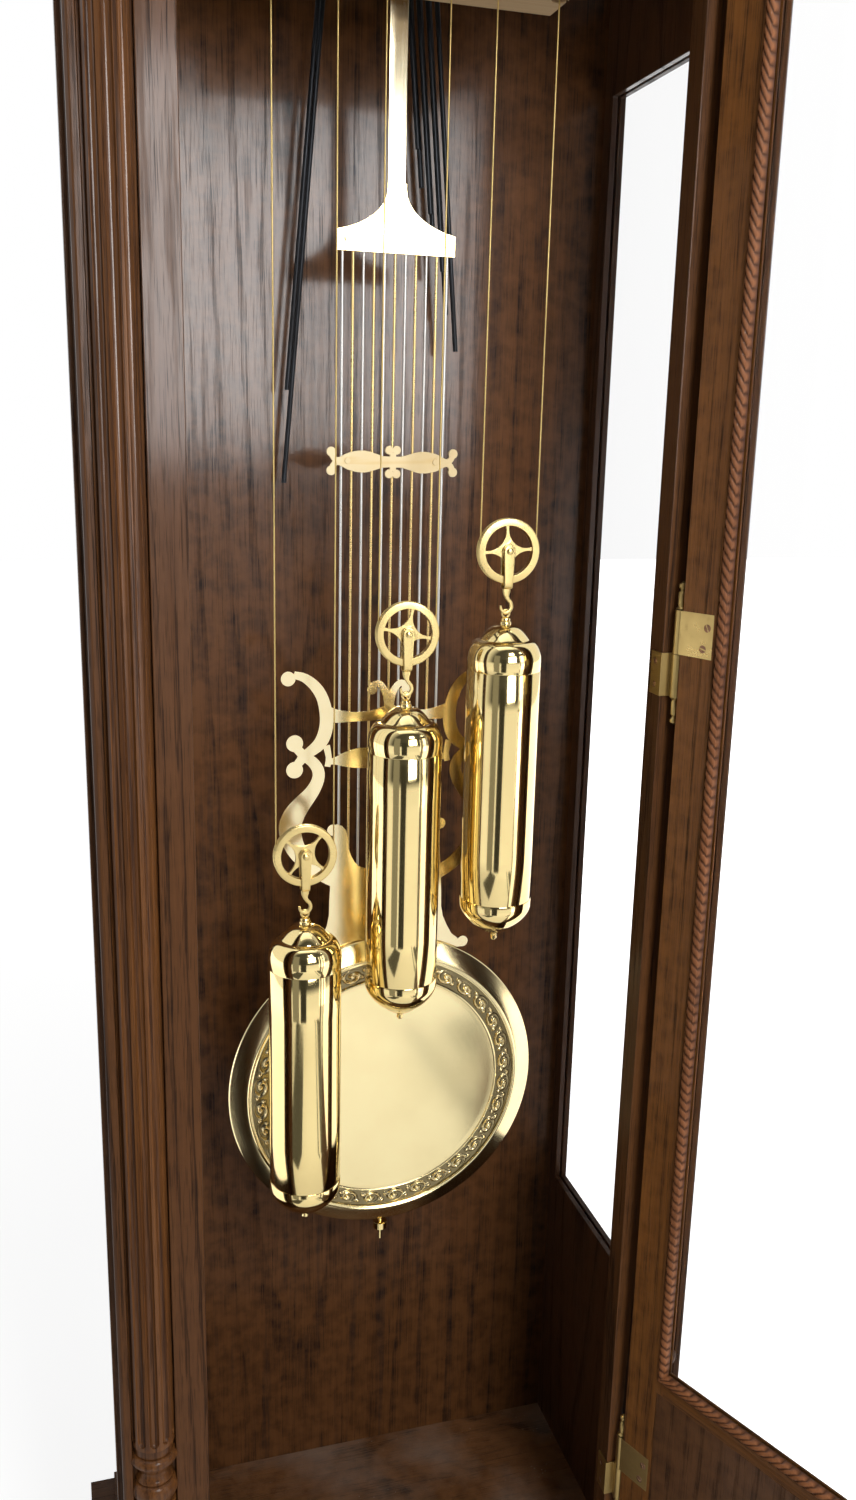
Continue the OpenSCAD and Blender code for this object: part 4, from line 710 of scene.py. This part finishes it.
def metal(name, colour, rough, stain=BRASS_STAIN, stained=0.25, scratched=0.05, brushed=None, spun=None, worn=0,
          relief=False):
    """Polished or brushed metal: colour drifts to its stain, hollows take the stain colour as painted shade, roughness
    follows clouds, scratches and brush lines.
    """
    mat, tree, shader, v = shader_of(name)
    age = use(tarnish_group, Vector=v)
    wear_shade = use(wear_shade_group, Vector=v)
    dull = calc("MULTIPLY_ADD", age["Spot"], 0.35, age["Cloud"], clamp=True)
    base = blended(mul(dull, stained), colour, stain)
    # Painted shade: hollows turned towards the stain colour.
    base = blended(mul(wear_shade["Hollow"], min(1, stained * 2.2)), base, stain)
    roughness = mul_add(dull, stained * 0.35, rough)
    roughness = mul_add(between(age["Scratch"], 0.55, 0.8), scratched, roughness)
    if worn:
        base = blended(mul(wear_shade["Edge"], worn), base, tuple(min(1, c * 1.35) for c in colour))
        roughness = mul_add(wear_shade["Edge"], -0.4 * worn * rough, roughness)
    lines = noise(v, brushed, 3, 0.7) if brushed else None
    if spun:
        from_axis = put("VectorMath", {0: v, 1: (0, 0, spun)}, operation="SUBTRACT")[0]
        lines = use(spun_group, Vector=from_axis)["Rings"]
    if lines is not None:
        roughness = mul_add(between(lines, 0.35, 0.65), 0.08, roughness)
        feed(shader, {"Normal": bumped(lines, 0.35, LINE_DEPTH)})
    if relief:
        # Painted shade in the grooves of the relief.
        base = shaded_relief(tree, base, BAND_GROOVE_SHADE)
    feed(shader, {"Base Color": base, "Roughness": roughness, "Metallic": 1})
    return mat


polished = metal("polished_brass", (0.9, 0.72, 0.34), 0.075, stained=0.14, scratched=0.03)
plate_brass = metal("plate_brass", (0.93, 0.8, 0.5), 0.16, stained=0.18)
strip_brass = metal("strip_brass", (0.94, 0.84, 0.6), 0.18, stained=0.15, brushed=LINES_UP)
wheel_brass = metal("wheel_brass", (0.8, 0.62, 0.27), 0.24, (0.42, 0.28, 0.09), 0.3, scratched=0.08)
bob_brass = metal("bob_brass", (0.93, 0.79, 0.44), 0.11, stained=0.12, spun=BOB_Z)
# The scroll band's grooves get painted shade from its relief values.
band_brass = metal("band_brass", (0.88, 0.76, 0.45), 0.16, stained=0.2, relief=True)
old_brass = metal("antique_brass", (0.43, 0.31, 0.12), 0.3, (0.16, 0.095, 0.035), 0.5, scratched=0.1, worn=0.25)
old_screw = metal("old_screw", (0.24, 0.13, 0.08), 0.38, (0.05, 0.03, 0.02), 0.5, scratched=0.1, worn=0.6)
cable_brass = metal("cable_brass", (0.62, 0.45, 0.17), 0.34, (0.25, 0.16, 0.05), 0.4)
rod_brass = metal("rod_brass", (0.82, 0.6, 0.26), 0.22, brushed=LINES_ACROSS)
rod_steel = metal("rod_steel", (0.66, 0.65, 0.63), 0.26, (0.34, 0.31, 0.27), brushed=LINES_ACROSS)
blued_steel = metal("blued_steel", (0.04, 0.046, 0.066), 0.3, (0.02, 0.018, 0.02), 0.4, scratched=0.1)
chime_steel = metal("chime_steel", (0.03, 0.032, 0.036), 0.36, (0.018, 0.014, 0.012), 0.5, scratched=0.1)
cast_iron = metal("cast_iron", (0.055, 0.055, 0.058), 0.55, (0.03, 0.026, 0.022), 0.5, scratched=0.15)
silvered = metal("silvered_ring", (0.62, 0.61, 0.57), 0.66, (0.45, 0.41, 0.32), spun=DIAL_Z)
clip_brass = metal("clip_brass", (0.64, 0.53, 0.33), 0.58, stained=0.2)
matted_brass = metal("matted_brass", (0.5, 0.35, 0.13), 0.68)


# -------- hinges
# Cranked brass hinges: one leaf is let into the door, the other bends round the stile, and the pin
# ends in turned finials. Each leaf is held by countersunk slotted screws.

HINGE_Z = (0.5525, 1.2855, 2.0185)
LEAF_W, LEAF_LOW, SCREW_LIFT = 0.0285, -0.033, 0.0001
DOOR_LEAF_Y, STILE_LEAF = -0.131, (0.1745, -0.12)
HEAD_SINK, HEAD_CROWN, HEAD_SKIRT, SLOT_SHARE = 0.0007, 0.0004, -0.0012, 1 / 6.5
for node in ("door_hinge_leaves", "case_hinge_leaves"):
    eased(node, old_brass, 0.00035)


def screw_head(radius):
    """Countersunk head as rings: h = 0.4 mm (1 - (r/R)^2), less 0.7 mm in the slot where |y| < R/6.5."""
    r = np.concatenate([[0], np.linspace(0.15, 1, 10), [1.02]])[:, None] * radius
    t = circle(28)
    x, y = r * np.cos(t), r * np.sin(t)
    h = np.where(np.abs(y) < radius * SLOT_SHARE, -HEAD_SINK, 0) * (r < radius * 0.99)
    h = h + HEAD_CROWN * (1 - (r / radius) ** 2)
    h[-1] = HEAD_SKIRT
    return grid(x, y, h)


def placed(points, at, right, out):
    """Local points (x, y, h) set at a place with x along right and h along out."""
    right, out = np.asarray(right, float), np.asarray(out, float)
    return points @ np.stack([right, np.cross(out, right), out]) + at


door_screws, case_screws = [], []
turn = np.array(Matrix.Rotation(DOOR_ANGLE, 3, "Z"))
door_out = turn @ np.array([0, 1, 0])
for z in HINGE_Z:
    for dx, dz, spin in ((0.0085, 0.007, 0.3), (0.0055, 0.0228, 1.1)):
        at = opened(np.array([DOOR_HALF - LEAF_W + dx, DOOR_LEAF_Y, z + dz])) + door_out * SCREW_LIFT
        door_screws.append(placed(screw_head(0.003), at, turn @ [math.cos(spin), 0, math.sin(spin)], door_out))
    for dz, spin in ((0.0075, 0.5), (0.0255, 1.4)):
        at = (*STILE_LEAF, z + LEAF_LOW + dz)
        case_screws.append(placed(screw_head(0.0025), at, (0, math.cos(spin), math.sin(spin)), (-1, 0, 0)))
for name, body, heads in (("door", "trunk_door", door_screws), ("case", "case", case_screws)):
    screws = tidied(grid_mesh("screws", heads), 1e-7)
    new_piece(name + "_hinge_screws", screws, body, old_screw, smooth=30)
eased("door_knob", old_brass, 0.0002, smooth=40)


# -------- seatboard
# The movement sits on a board of birch ply, pale and unstained, on two oak bearers between the sides.
# The cables pass through drilled holes; the underside shows above the weights.

PLY_Z, PLY_PAIR = 1.745, 0.0034


def plywood():
    """Pale birch face with long soft figure; its edges show thin plies, light and dark in turn."""
    mat, tree, shader, at = shader_of("birch_ply")
    figure = use(oak_group, Vector=grain_vector(at, ACROSS, (0, 0, PLY_Z)), Rings=30)
    fibre = figure["Fibre"]
    ply = calc("GREATER_THAN", calc("FRACT", mul(xyz(at)["Z"], 1 / PLY_PAIR)), 0.5)
    facing_up = xyz(source(tree, "NewGeometry", "Normal"))["Z"]
    edge = calc("LESS_THAN", calc("ABSOLUTE", facing_up), 0.5)
    base = layered(blended(fibre, (0.5, 0.36, 0.2), (0.38, 0.25, 0.13)),
                   (mul(figure["Rings"], 0.4), (0.3, 0.19, 0.09)), (mul(mul(ply, edge), 0.55), (0.22, 0.12, 0.05)))
    feed(shader, {"Base Color": base, "Roughness": between(fibre, 0.3, 0.7, 0.5, 0.62),
                  "Normal": bumped(fibre, 0.4, 0.0001)})
    return mat


eased("seatboard", plywood(), 0.0006)
eased("seat_bearers", moulding_oak, 0.001)


# -------- movement
# Brass plates on turned pillars carry three winding drums with their great wheels, and the steel anchor
# with its crutch. The pendulum hangs from a cock on the back plate by a flat spring.

for side in ("left", "middle", "right"):
    eased("drum_" + side, wheel_brass, 0.0002)
eased("movement_plates", plate_brass, 0.0004)
eased("anchor", rod_steel)
eased("suspension_bracket", plate_brass, 0.0004)
spring = new_piece("suspension_blade", merged_copy("suspension_spring"), None, rod_steel,
                   ("suspension_spring",), smooth=32)
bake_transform(spring)


# -------- dial
# A brass plate in a wooden mask carries a silvered chapter ring with black filled Roman hours and a minute
# track. The hands are blued steel, the hour hand on a pipe under the minute hand.

RING_FACE, RING_IN = -0.1096, 0.104
WAX_BACK, WAX_FRONT = RING_FACE + 0.0002, RING_FACE - 0.00012
HOUR_FOOT, HOUR_H = RING_IN + 0.0035, 0.019
TRACK_IN, TRACK_OUT, TRACK_LINE = 0.127, 0.1323, 0.0005
TICK_IN, TICK_OUT, TICK_HOUR, TICK_MINUTE = 0.1275, 0.1325, 0.0011, 0.0004
THICK, THIN, SERIF, OPEN_W, STEM_PAD, LETTER_GAP = 0.0026, 0.001, 0.0007, 0.0085, 0.0016, 0.001575
eased("dial_surround", moulding_oak, 0.001)
eased("dial_plate", matted_brass)
eased("chapter_ring", silvered)
for node in ("minute_hand", "hour_hand"):
    eased(node, blued_steel, 0.0002)


def wax():
    """Black sealing wax filled into the engraving: dark, a little uneven and shiny."""
    mat, _, shader, at = shader_of("black_wax")
    cloud = noise(at, 300)
    feed(shader, {"Base Color": blended(cloud, (0.01, 0.009, 0.009), (0.03, 0.026, 0.024)),
                  "Roughness": between(cloud, 0.3, 0.7, 0.25, 0.45)})
    return mat


def dial_stroke(u0, v0, u1, v1, width):
    """Four corners of a stroke from (u0, v0) to (u1, v1) with level ends, u across and v outwards."""
    half = width / 2
    return [(u0 - half, v0), (u0 + half, v0), (u1 + half, v1), (u1 - half, v1)]


def roman(text, height):
    """Strokes of a centred Roman number: I a thick stem, V and X one thick and one thin; serifs close them."""
    widths = {"I": THICK + STEM_PAD, "V": OPEN_W + THICK, "X": OPEN_W + THICK}
    at, strokes = -(sum(widths[c] for c in text) + LETTER_GAP * (len(text) - 1)) / 2, []
    for c in text:
        mid = at + widths[c] / 2
        left, right = mid - OPEN_W / 2, mid + OPEN_W / 2
        if c == "I":
            strokes.append(dial_stroke(mid, 0, mid, height, THICK))
            ends = [(mid, 0), (mid, height)]
        elif c == "V":
            strokes += [dial_stroke(mid, 0, left, height, THICK), dial_stroke(mid, 0, right, height, THIN)]
            ends = [(left, height), (right, height)]
        else:
            strokes += [dial_stroke(right, 0, left, height, THICK), dial_stroke(left, 0, right, height, THIN)]
            ends = [(left, 0), (left, height), (right, 0), (right, height)]
        for u, v in ends:
            z = v - SERIF if v else v
            strokes.append(dial_stroke(u, z, u, z + SERIF, THICK * 1.9))
        at += widths[c] + LETTER_GAP
    return strokes


def dial_figures():
    """Hours and minute track as thin plates: each flat stroke is turned by its hour angle on the ring."""
    quads = []
    for i, text in enumerate("XII I II III IIII V VI VII VIII IX X XI".split()):
        quads += [([(u, HOUR_FOOT + v) for u, v in stroke], math.pi * i / 6) for stroke in roman(text, HOUR_H)]
    for i in range(60):
        width = 2 * (TICK_MINUTE if i % 5 else TICK_HOUR)
        quads.append((dial_stroke(0, TICK_IN, 0, TICK_OUT, width), math.pi * i / 30))
    verts, faces = [], []
    for corners, a in quads:
        base = len(verts)
        for y in (WAX_BACK, WAX_FRONT):
            for u, v in corners:
                verts.append((u * math.cos(a) + v * math.sin(a), y, DIAL_Z - u * math.sin(a) + v * math.cos(a)))
        faces += [[base + k for k in f] for f in
                  ((0, 1, 2, 3), (7, 6, 5, 4), (0, 4, 5, 1), (1, 5, 6, 2), (2, 6, 7, 3), (3, 7, 4, 0))]
    mesh = bpy.data.meshes.new("dial_figures")
    mesh.from_pydata(verts, [], faces)
    return tidied(mesh)


black_wax = wax()
new_piece("dial_figures", dial_figures(), "case", black_wax)
for label, inner in (("inner", TRACK_IN), ("outer", TRACK_OUT)):
    outer = inner + TRACK_LINE
    ring = [[inner, WAX_BACK], [outer, WAX_BACK], [outer, WAX_FRONT], [inner, WAX_FRONT], [inner, WAX_BACK]]
    new_piece("minute_track_" + label, lathe(ring, (0, 0, DIAL_Z), 180, "Y"), "case", black_wax,
              smooth=30)


# -------- chime
# Nine tuned steel rods, blued black, lean away from the middle out of an iron block on the back panel.
# Small hammers on a common arbor strike them from the front.

eased("chime_block", cast_iron, 0.0015)
eased("chime_rods", chime_steel)
eased("hammer_bracket", plate_brass)
for node in ("strike_hammers", "chime_hammers"):
    eased(node, wheel_brass, 0.0002)


# -------- pendulum
# Gridiron pendulum: a brass strip, a cast cap, steel and brass rods in turn, a clip and a pierced lyre,
# all lacquered brass. The bob is pressed from sheet, with a dished rim and a band of embossed scrolls.

BOB_R, BOB_BACK = 0.1385, 0.0116
BAND_MOTIFS, PER_MOTIF, BAND_ROWS = 32, 40, 36
BAND_FLOOR, BAND_RISE, EDGE_DROP = 0.0084, 0.0021, 0.0009
eased("pendulum_hanger", strip_brass)
eased("gridiron_bracket", plate_brass)
eased("gridiron_clip", clip_brass, 0.0004)
eased("lyre_plate", plate_brass, limit=50)
eased("pendulum_stem", polished)
eased("steel_rods", rod_steel, 0)
eased("brass_rods", rod_brass, 0)


def bob_height(k):
    """Height of the pressed sheet over the back of the bob, by k = distance from its middle / radius.

    A dome 9.4 + 3.4 (1 - (k/0.72)^2) mm, turned rings, and a rim 9.2 - 6.8 ((k - 0.89)/0.11)^1.15 mm."""
    middle = 0.0094 + 0.0034 * np.clip(1 - (k / 0.72) ** 2, 0, 1)
    rim = 0.0092 - 0.0068 * np.clip((k - 0.89) / 0.11, 0, 1) ** 1.15
    rings = np.interp(k, [0.735, 0.74, 0.745, 0.75, 0.753, 0.86, 0.863, 0.868, 0.873, 0.878, 0.884, 0.89],
                      [0.0094, 0.0102, 0.0104, 0.0099, 0.008, 0.008, 0.01, 0.0104, 0.0096, 0.0096, 0.01, 0.0092])
    return np.where(k <= 0.735, middle, np.where(k > 0.89, rim, rings))


def scroll_relief(u, v):
    """Height 0..1 of a running scroll: u is the place along one motif (0..1), v across the band (-1..1).

    A spiral 0.5 + 0.5 cos(alpha - 7.5 rho + 0.6) fades out with rho; an eye and two leaves are added by max."""
    x, y = (u - 0.5) * 2.3, v * 1.05
    rho = np.hypot(x + 0.15, y) + 1e-6
    alpha = np.arctan2(y, x + 0.15)
    spiral = 0.5 + 0.5 * np.cos(alpha - 7.5 * rho + 0.6)
    disc = np.clip((0.98 - rho) / 0.16, 0, 1)
    eye = np.clip((0.26 - rho) / 0.1, 0, 1)
    leaves = [np.clip(1 - ((np.hypot(x - a, y - b) - 0.02) / size), 0, 1) ** 0.8
              for a, b, size in ((0.92, 0.42, 0.3), (-1.02, -0.45, 0.28))]
    return np.clip(np.maximum.reduce([spiral ** 1.6 * disc, eye, *leaves]), 0, 1)


def bob_band():
    """Ring (r cos t, h(r, t), r sin t) whose height carries the scroll, sunk back under the rings at both edges."""
    t = circle(BAND_MOTIFS * PER_MOTIF)
    r = np.linspace(0.752, 0.861, BAND_ROWS)[:, None] * BOB_R
    v = np.linspace(-1.12, 1.12, BAND_ROWS)[:, None]
    u = (t[None, :] / (2 * np.pi) * BAND_MOTIFS) % 1
    relief = scroll_relief(u, v) * np.clip((1.08 - np.abs(v)) / 0.12, 0, 1)
    points = grid(r * np.cos(t), BOB_BACK - BAND_FLOOR - BAND_RISE * relief, BOB_Z + r * np.sin(t))
    return stamped(grid_mesh("bob_band", [points]), relief.ravel())


def bob_shell():
    """Pressed disc turned from bob_height, closed by a flat back."""
    k = np.unique(np.concatenate([[1e-4], np.linspace(0, 0.735, 40)[1:], np.linspace(0.736, 0.753, 12),
                                  np.linspace(0.86, 0.89, 24), np.linspace(0.895, 0.998, 22)]))[::-1]
    front = grid(k * BOB_R, BOB_BACK - bob_height(k))
    front[-1, 0] = 0
    edge = [[0, BOB_BACK], [BOB_R * 0.97, BOB_BACK], [BOB_R, BOB_BACK - 0.0012], [BOB_R, BOB_BACK - 0.0012 - EDGE_DROP]]
    return lathe(np.concatenate([edge, front]), (0, 0, BOB_Z), 256, "Y")


new_piece("bob_shell", bob_shell(), "pendulum", bob_brass, ("bob",), smooth=34)
new_piece("bob_scroll_band", bob_band(), "pendulum", band_brass, smooth=60)


# -------- weights
# Each weight is a polished brass tube between two spun caps with rolled seams, filled with lead.
# A nut and eye at the top hang on a flat hook under the stirrup that straddles the pulley.

SIDES = (("left", -0.081, 1.114), ("middle", 0, 1.29), ("right", 0.081, 1.354))
WEIGHT_Y, HANG, SHELL_L, WEIGHT_R, CAP_H = -0.04, 0.0582, 0.193, 0.03, 0.036
EYE_R, EYE_WIRE, EYE_RISE = 0.003, 0.00088, 0.0088
CHEEK, STIRRUP_TOP, STIRRUP_LOW, STIRRUP_TURN, STIRRUP_THICK = 0.0043, 0.0046, -0.0291, 0.0022, 0.0013
HOOK_HALF = 0.001
TIP = [[0, -39.9], [1.2, -39.7], [1.8, -39.3], [2.8, -37.8], [2.3, -35.6], [3.2, -34.6], [3.3, -33], [6, -32.8],
       [13, -28.3], [19, -23.2], [20, -22.8]]
NUT = [[4.6, 0], [4.6, 2.1], [4.4, 2.5], [3.6, 3], [4.1, 3.8], [3.6, 5.1], [2.2, 5.9], [1, 6.4], [0, 6.5]]
HOOK = [[0, -29.1, 6.4], [0, -32, 6.2], [0, -34.2, 5], [0.6, -36.6, 3.6], [2, -38.8, 3.1], [3.6, -40.6, 3],
        [4.4, -43, 3], [4.3, -45.2, 3], [2.4, -48.1, 3], [0.4, -48.8, 2.9], [-1.2, -48.5, 2.8],
        [-3, -47.4, 2.5], [-4.2, -45.6, 2.2], [-4.6, -43.1, 1.5]]
PIN_ROWS = [[0, -7], [2, -6.9], [2.6, -6.4], [2.7, -5], [2, -4.9], [2, 4.9], [2.7, 5], [2.6, 6.4],
            [2, 6.9], [0, 7]]


def weight_profile():
    """Outline in metres from the tip up: tip, cone, bottom dome, tube with a seam at each end, top cap and nut.

    The domes are R - 9 t^1.7 mm at 14.9 t mm below and R - 9 (1 - cos a)^0.9 mm at 15.8 sin a mm above."""
    skin, wall, low, cap = 1000 * WEIGHT_R - 0.1, 1000 * WEIGHT_R - 0.3, -1000 * (CAP_H + SHELL_L), -1000 * CAP_H
    a = np.linspace(0, np.pi / 2, 19)
    t = np.linspace(1, 0, 19)
    rows = [np.array(TIP) + [0, low], grid(skin - 9 * t ** 1.7, low - 7 - 14.9 * t),
            [[skin, low - 0.5], [wall, low - 0.1], [wall - 0.2, low]], grid(wall, np.linspace(low + 0.3, cap - 0.3, 6)),
            [[wall - 0.2, cap], [wall, cap + 0.1], [skin, cap + 0.5]],
            grid(skin - 9 * (1 - np.cos(a)) ** 0.9, cap + 8 + 15.8 * np.sin(a)),
            [[20.4, -12.1], [19.8, -11.8]], grid(5.2 + 14.4 * t, -0.2 - 11.2 * t ** 1.9), NUT]
    return np.concatenate(rows) / 1000


def tangents(path):
    """Unit tangent at each point of a path."""
    step = np.gradient(path, axis=0)
    return step / np.linalg.norm(step, axis=1, keepdims=True)


def squared_oval(sides, power):
    """Section (sgn cos t |cos t|^p, sgn sin t |sin t|^p) for t once round from 0.2."""
    t = circle(sides) + 0.2
    return [(np.sign(f) * np.abs(f) ** power)[None, :, None] for f in (np.cos(t), np.sin(t))]


def eye_ring(x, z):
    """Ring of round wire: ((R + w cos b) cos a, w sin b, (R + w cos b) sin a)."""
    a, b = circle(36)[:, None], circle(12)
    out = EYE_R + EYE_WIRE * np.cos(b)
    return grid(out * np.cos(a), EYE_WIRE * np.sin(b), out * np.sin(a)) + [x, WEIGHT_Y, z]


def stirrup_strap(x, z):
    """U of flat brass from one end of the pulley pin under the wheel to the other, tapering towards the bottom."""
    side = np.linspace(STIRRUP_TOP, STIRRUP_LOW + STIRRUP_TURN, 14)
    a = np.linspace(0, np.pi / 2, 7)[1:]
    bend = grid(STIRRUP_TURN * (1 - np.cos(a)) - CHEEK, STIRRUP_LOW + STIRRUP_TURN * (1 - np.sin(a)))
    half = np.concatenate([grid(-CHEEK, side), bend])
    full = np.concatenate([half, (half * [-1, 1])[::-1]])
    h = full[:, 1]
    path = grid(x, WEIGHT_Y + full[:, 0], z + h)
    width = np.where(h > 0, 0.0092 * np.sqrt(np.clip(1 - (h / 0.0048) ** 2, 0.05, 1)),
                     0.0068 + 0.0024 * np.clip(1 + h / 0.028, 0, 1))
    normal = np.cross(tangents(path), [1, 0, 0])
    c, s = squared_oval(14, 0.35)
    return path[:, None] + width[:, None, None] / 2 * c * [1, 0, 0] + STIRRUP_THICK / 2 * s * normal[:, None]


def weight_hook(x, z):
    """Flat hook swept along a smooth S curve in the plane of the wheel."""
    curve = rounded(np.array(HOOK) / 1000, 5)
    path = grid(x + curve[:, 0], WEIGHT_Y, z + curve[:, 1])
    sideways = np.cross(tangents(path), [0, 1, 0])
    c, s = squared_oval(12, 0.5)
    return path[:, None] + curve[:, 2, None, None] / 2 * c * sideways[:, None] + HOOK_HALF * s * [0, 1, 0]


for label, x, z in SIDES:
    shell = lathe(weight_profile(), (x, WEIGHT_Y, z - HANG), 128)
    eye = tidied(grid_mesh("eye", [eye_ring(x, z - HANG + EYE_RISE)], close_u=True), 1e-7)
    stirrup = tidied(grid_mesh("stirrup", [stirrup_strap(x, z), weight_hook(x, z)], cap_ends=True), 1e-7)
    pin = lathe(np.array(PIN_ROWS) / 1000, (x, WEIGHT_Y, z), 24, "Y")
    for name, mesh, material, replaced, smooth in (
            ("weight_shell_", shell, polished, ("weight_" + label,), 36), ("weight_eye_", eye, wheel_brass, (), 60),
            ("stirrup_", stirrup, wheel_brass, (), 50), ("pulley_pin_", pin, wheel_brass, (), 40)):
        new_piece(name + label, mesh, "weight_" + label + "_hung", material, replaced, smooth)


# -------- pulleys
# Cast brass wheels with four windows and a deep groove, turned and left satin.
# They run free on the pin of the stirrup.

for label, x, z in SIDES:
    eased("pulley_" + label, wheel_brass, smooth=40)


# -------- cables
# Fine braided brass cable, 1.2 mm thick, comes off the drum, runs under the pulley and up to the seatboard.
# As a weight travels, the two straight lengths shorten or grow while the loop goes with the pulley.

DRUM_Z, SEAT_TOP, RUN_R, CABLE_R = 1.868, 1.767, 0.0232, 0.0006
STRAIGHT_ROWS, BEND_ROWS, CABLE_ROUND = 260, 26, 10
STRANDS, LAY, SWELL = 3, 900, 0.1


def cable_length(x, z, side, top):
    """Tube from the top down one side of the pulley and a quarter turn under it.

    Its strands swell the radius: r = R (1 + 0.1 cos(3 t + 900 s))."""
    a = np.linspace(0, np.pi / 2, BEND_ROWS)[1:]
    path = np.concatenate([grid(side * RUN_R, np.linspace(top, z, STRAIGHT_ROWS)),
                           grid(side * RUN_R * np.cos(a), z - RUN_R * np.sin(a))])
    tangent = tangents(path)
    t = circle(CABLE_ROUND)
    s = np.concatenate([[0], np.cumsum(np.linalg.norm(np.diff(path, axis=0), axis=1))])[:, None]
    r = CABLE_R * (1 + SWELL * np.cos(STRANDS * t + s * LAY))
    px = x + path[:, :1] + tangent[:, 1:] * r * np.cos(t)
    pz = path[:, 1:] - tangent[:, :1] * r * np.cos(t)
    return grid(px, WEIGHT_Y + r * np.sin(t), pz)


for label, x, z in SIDES:
    for part, side, top in (("run", 1, DRUM_Z), ("fixed", -1, SEAT_TOP)):
        name = "cable_" + label + "_" + part
        mesh = tidied(grid_mesh(name, [cable_length(x, z, side, top)], cap_ends=True))
        obj = new_piece(name, mesh, None, cable_brass, ("cable_" + label,) if part == "run" else ())
        mesh.shade_smooth()
        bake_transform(obj)
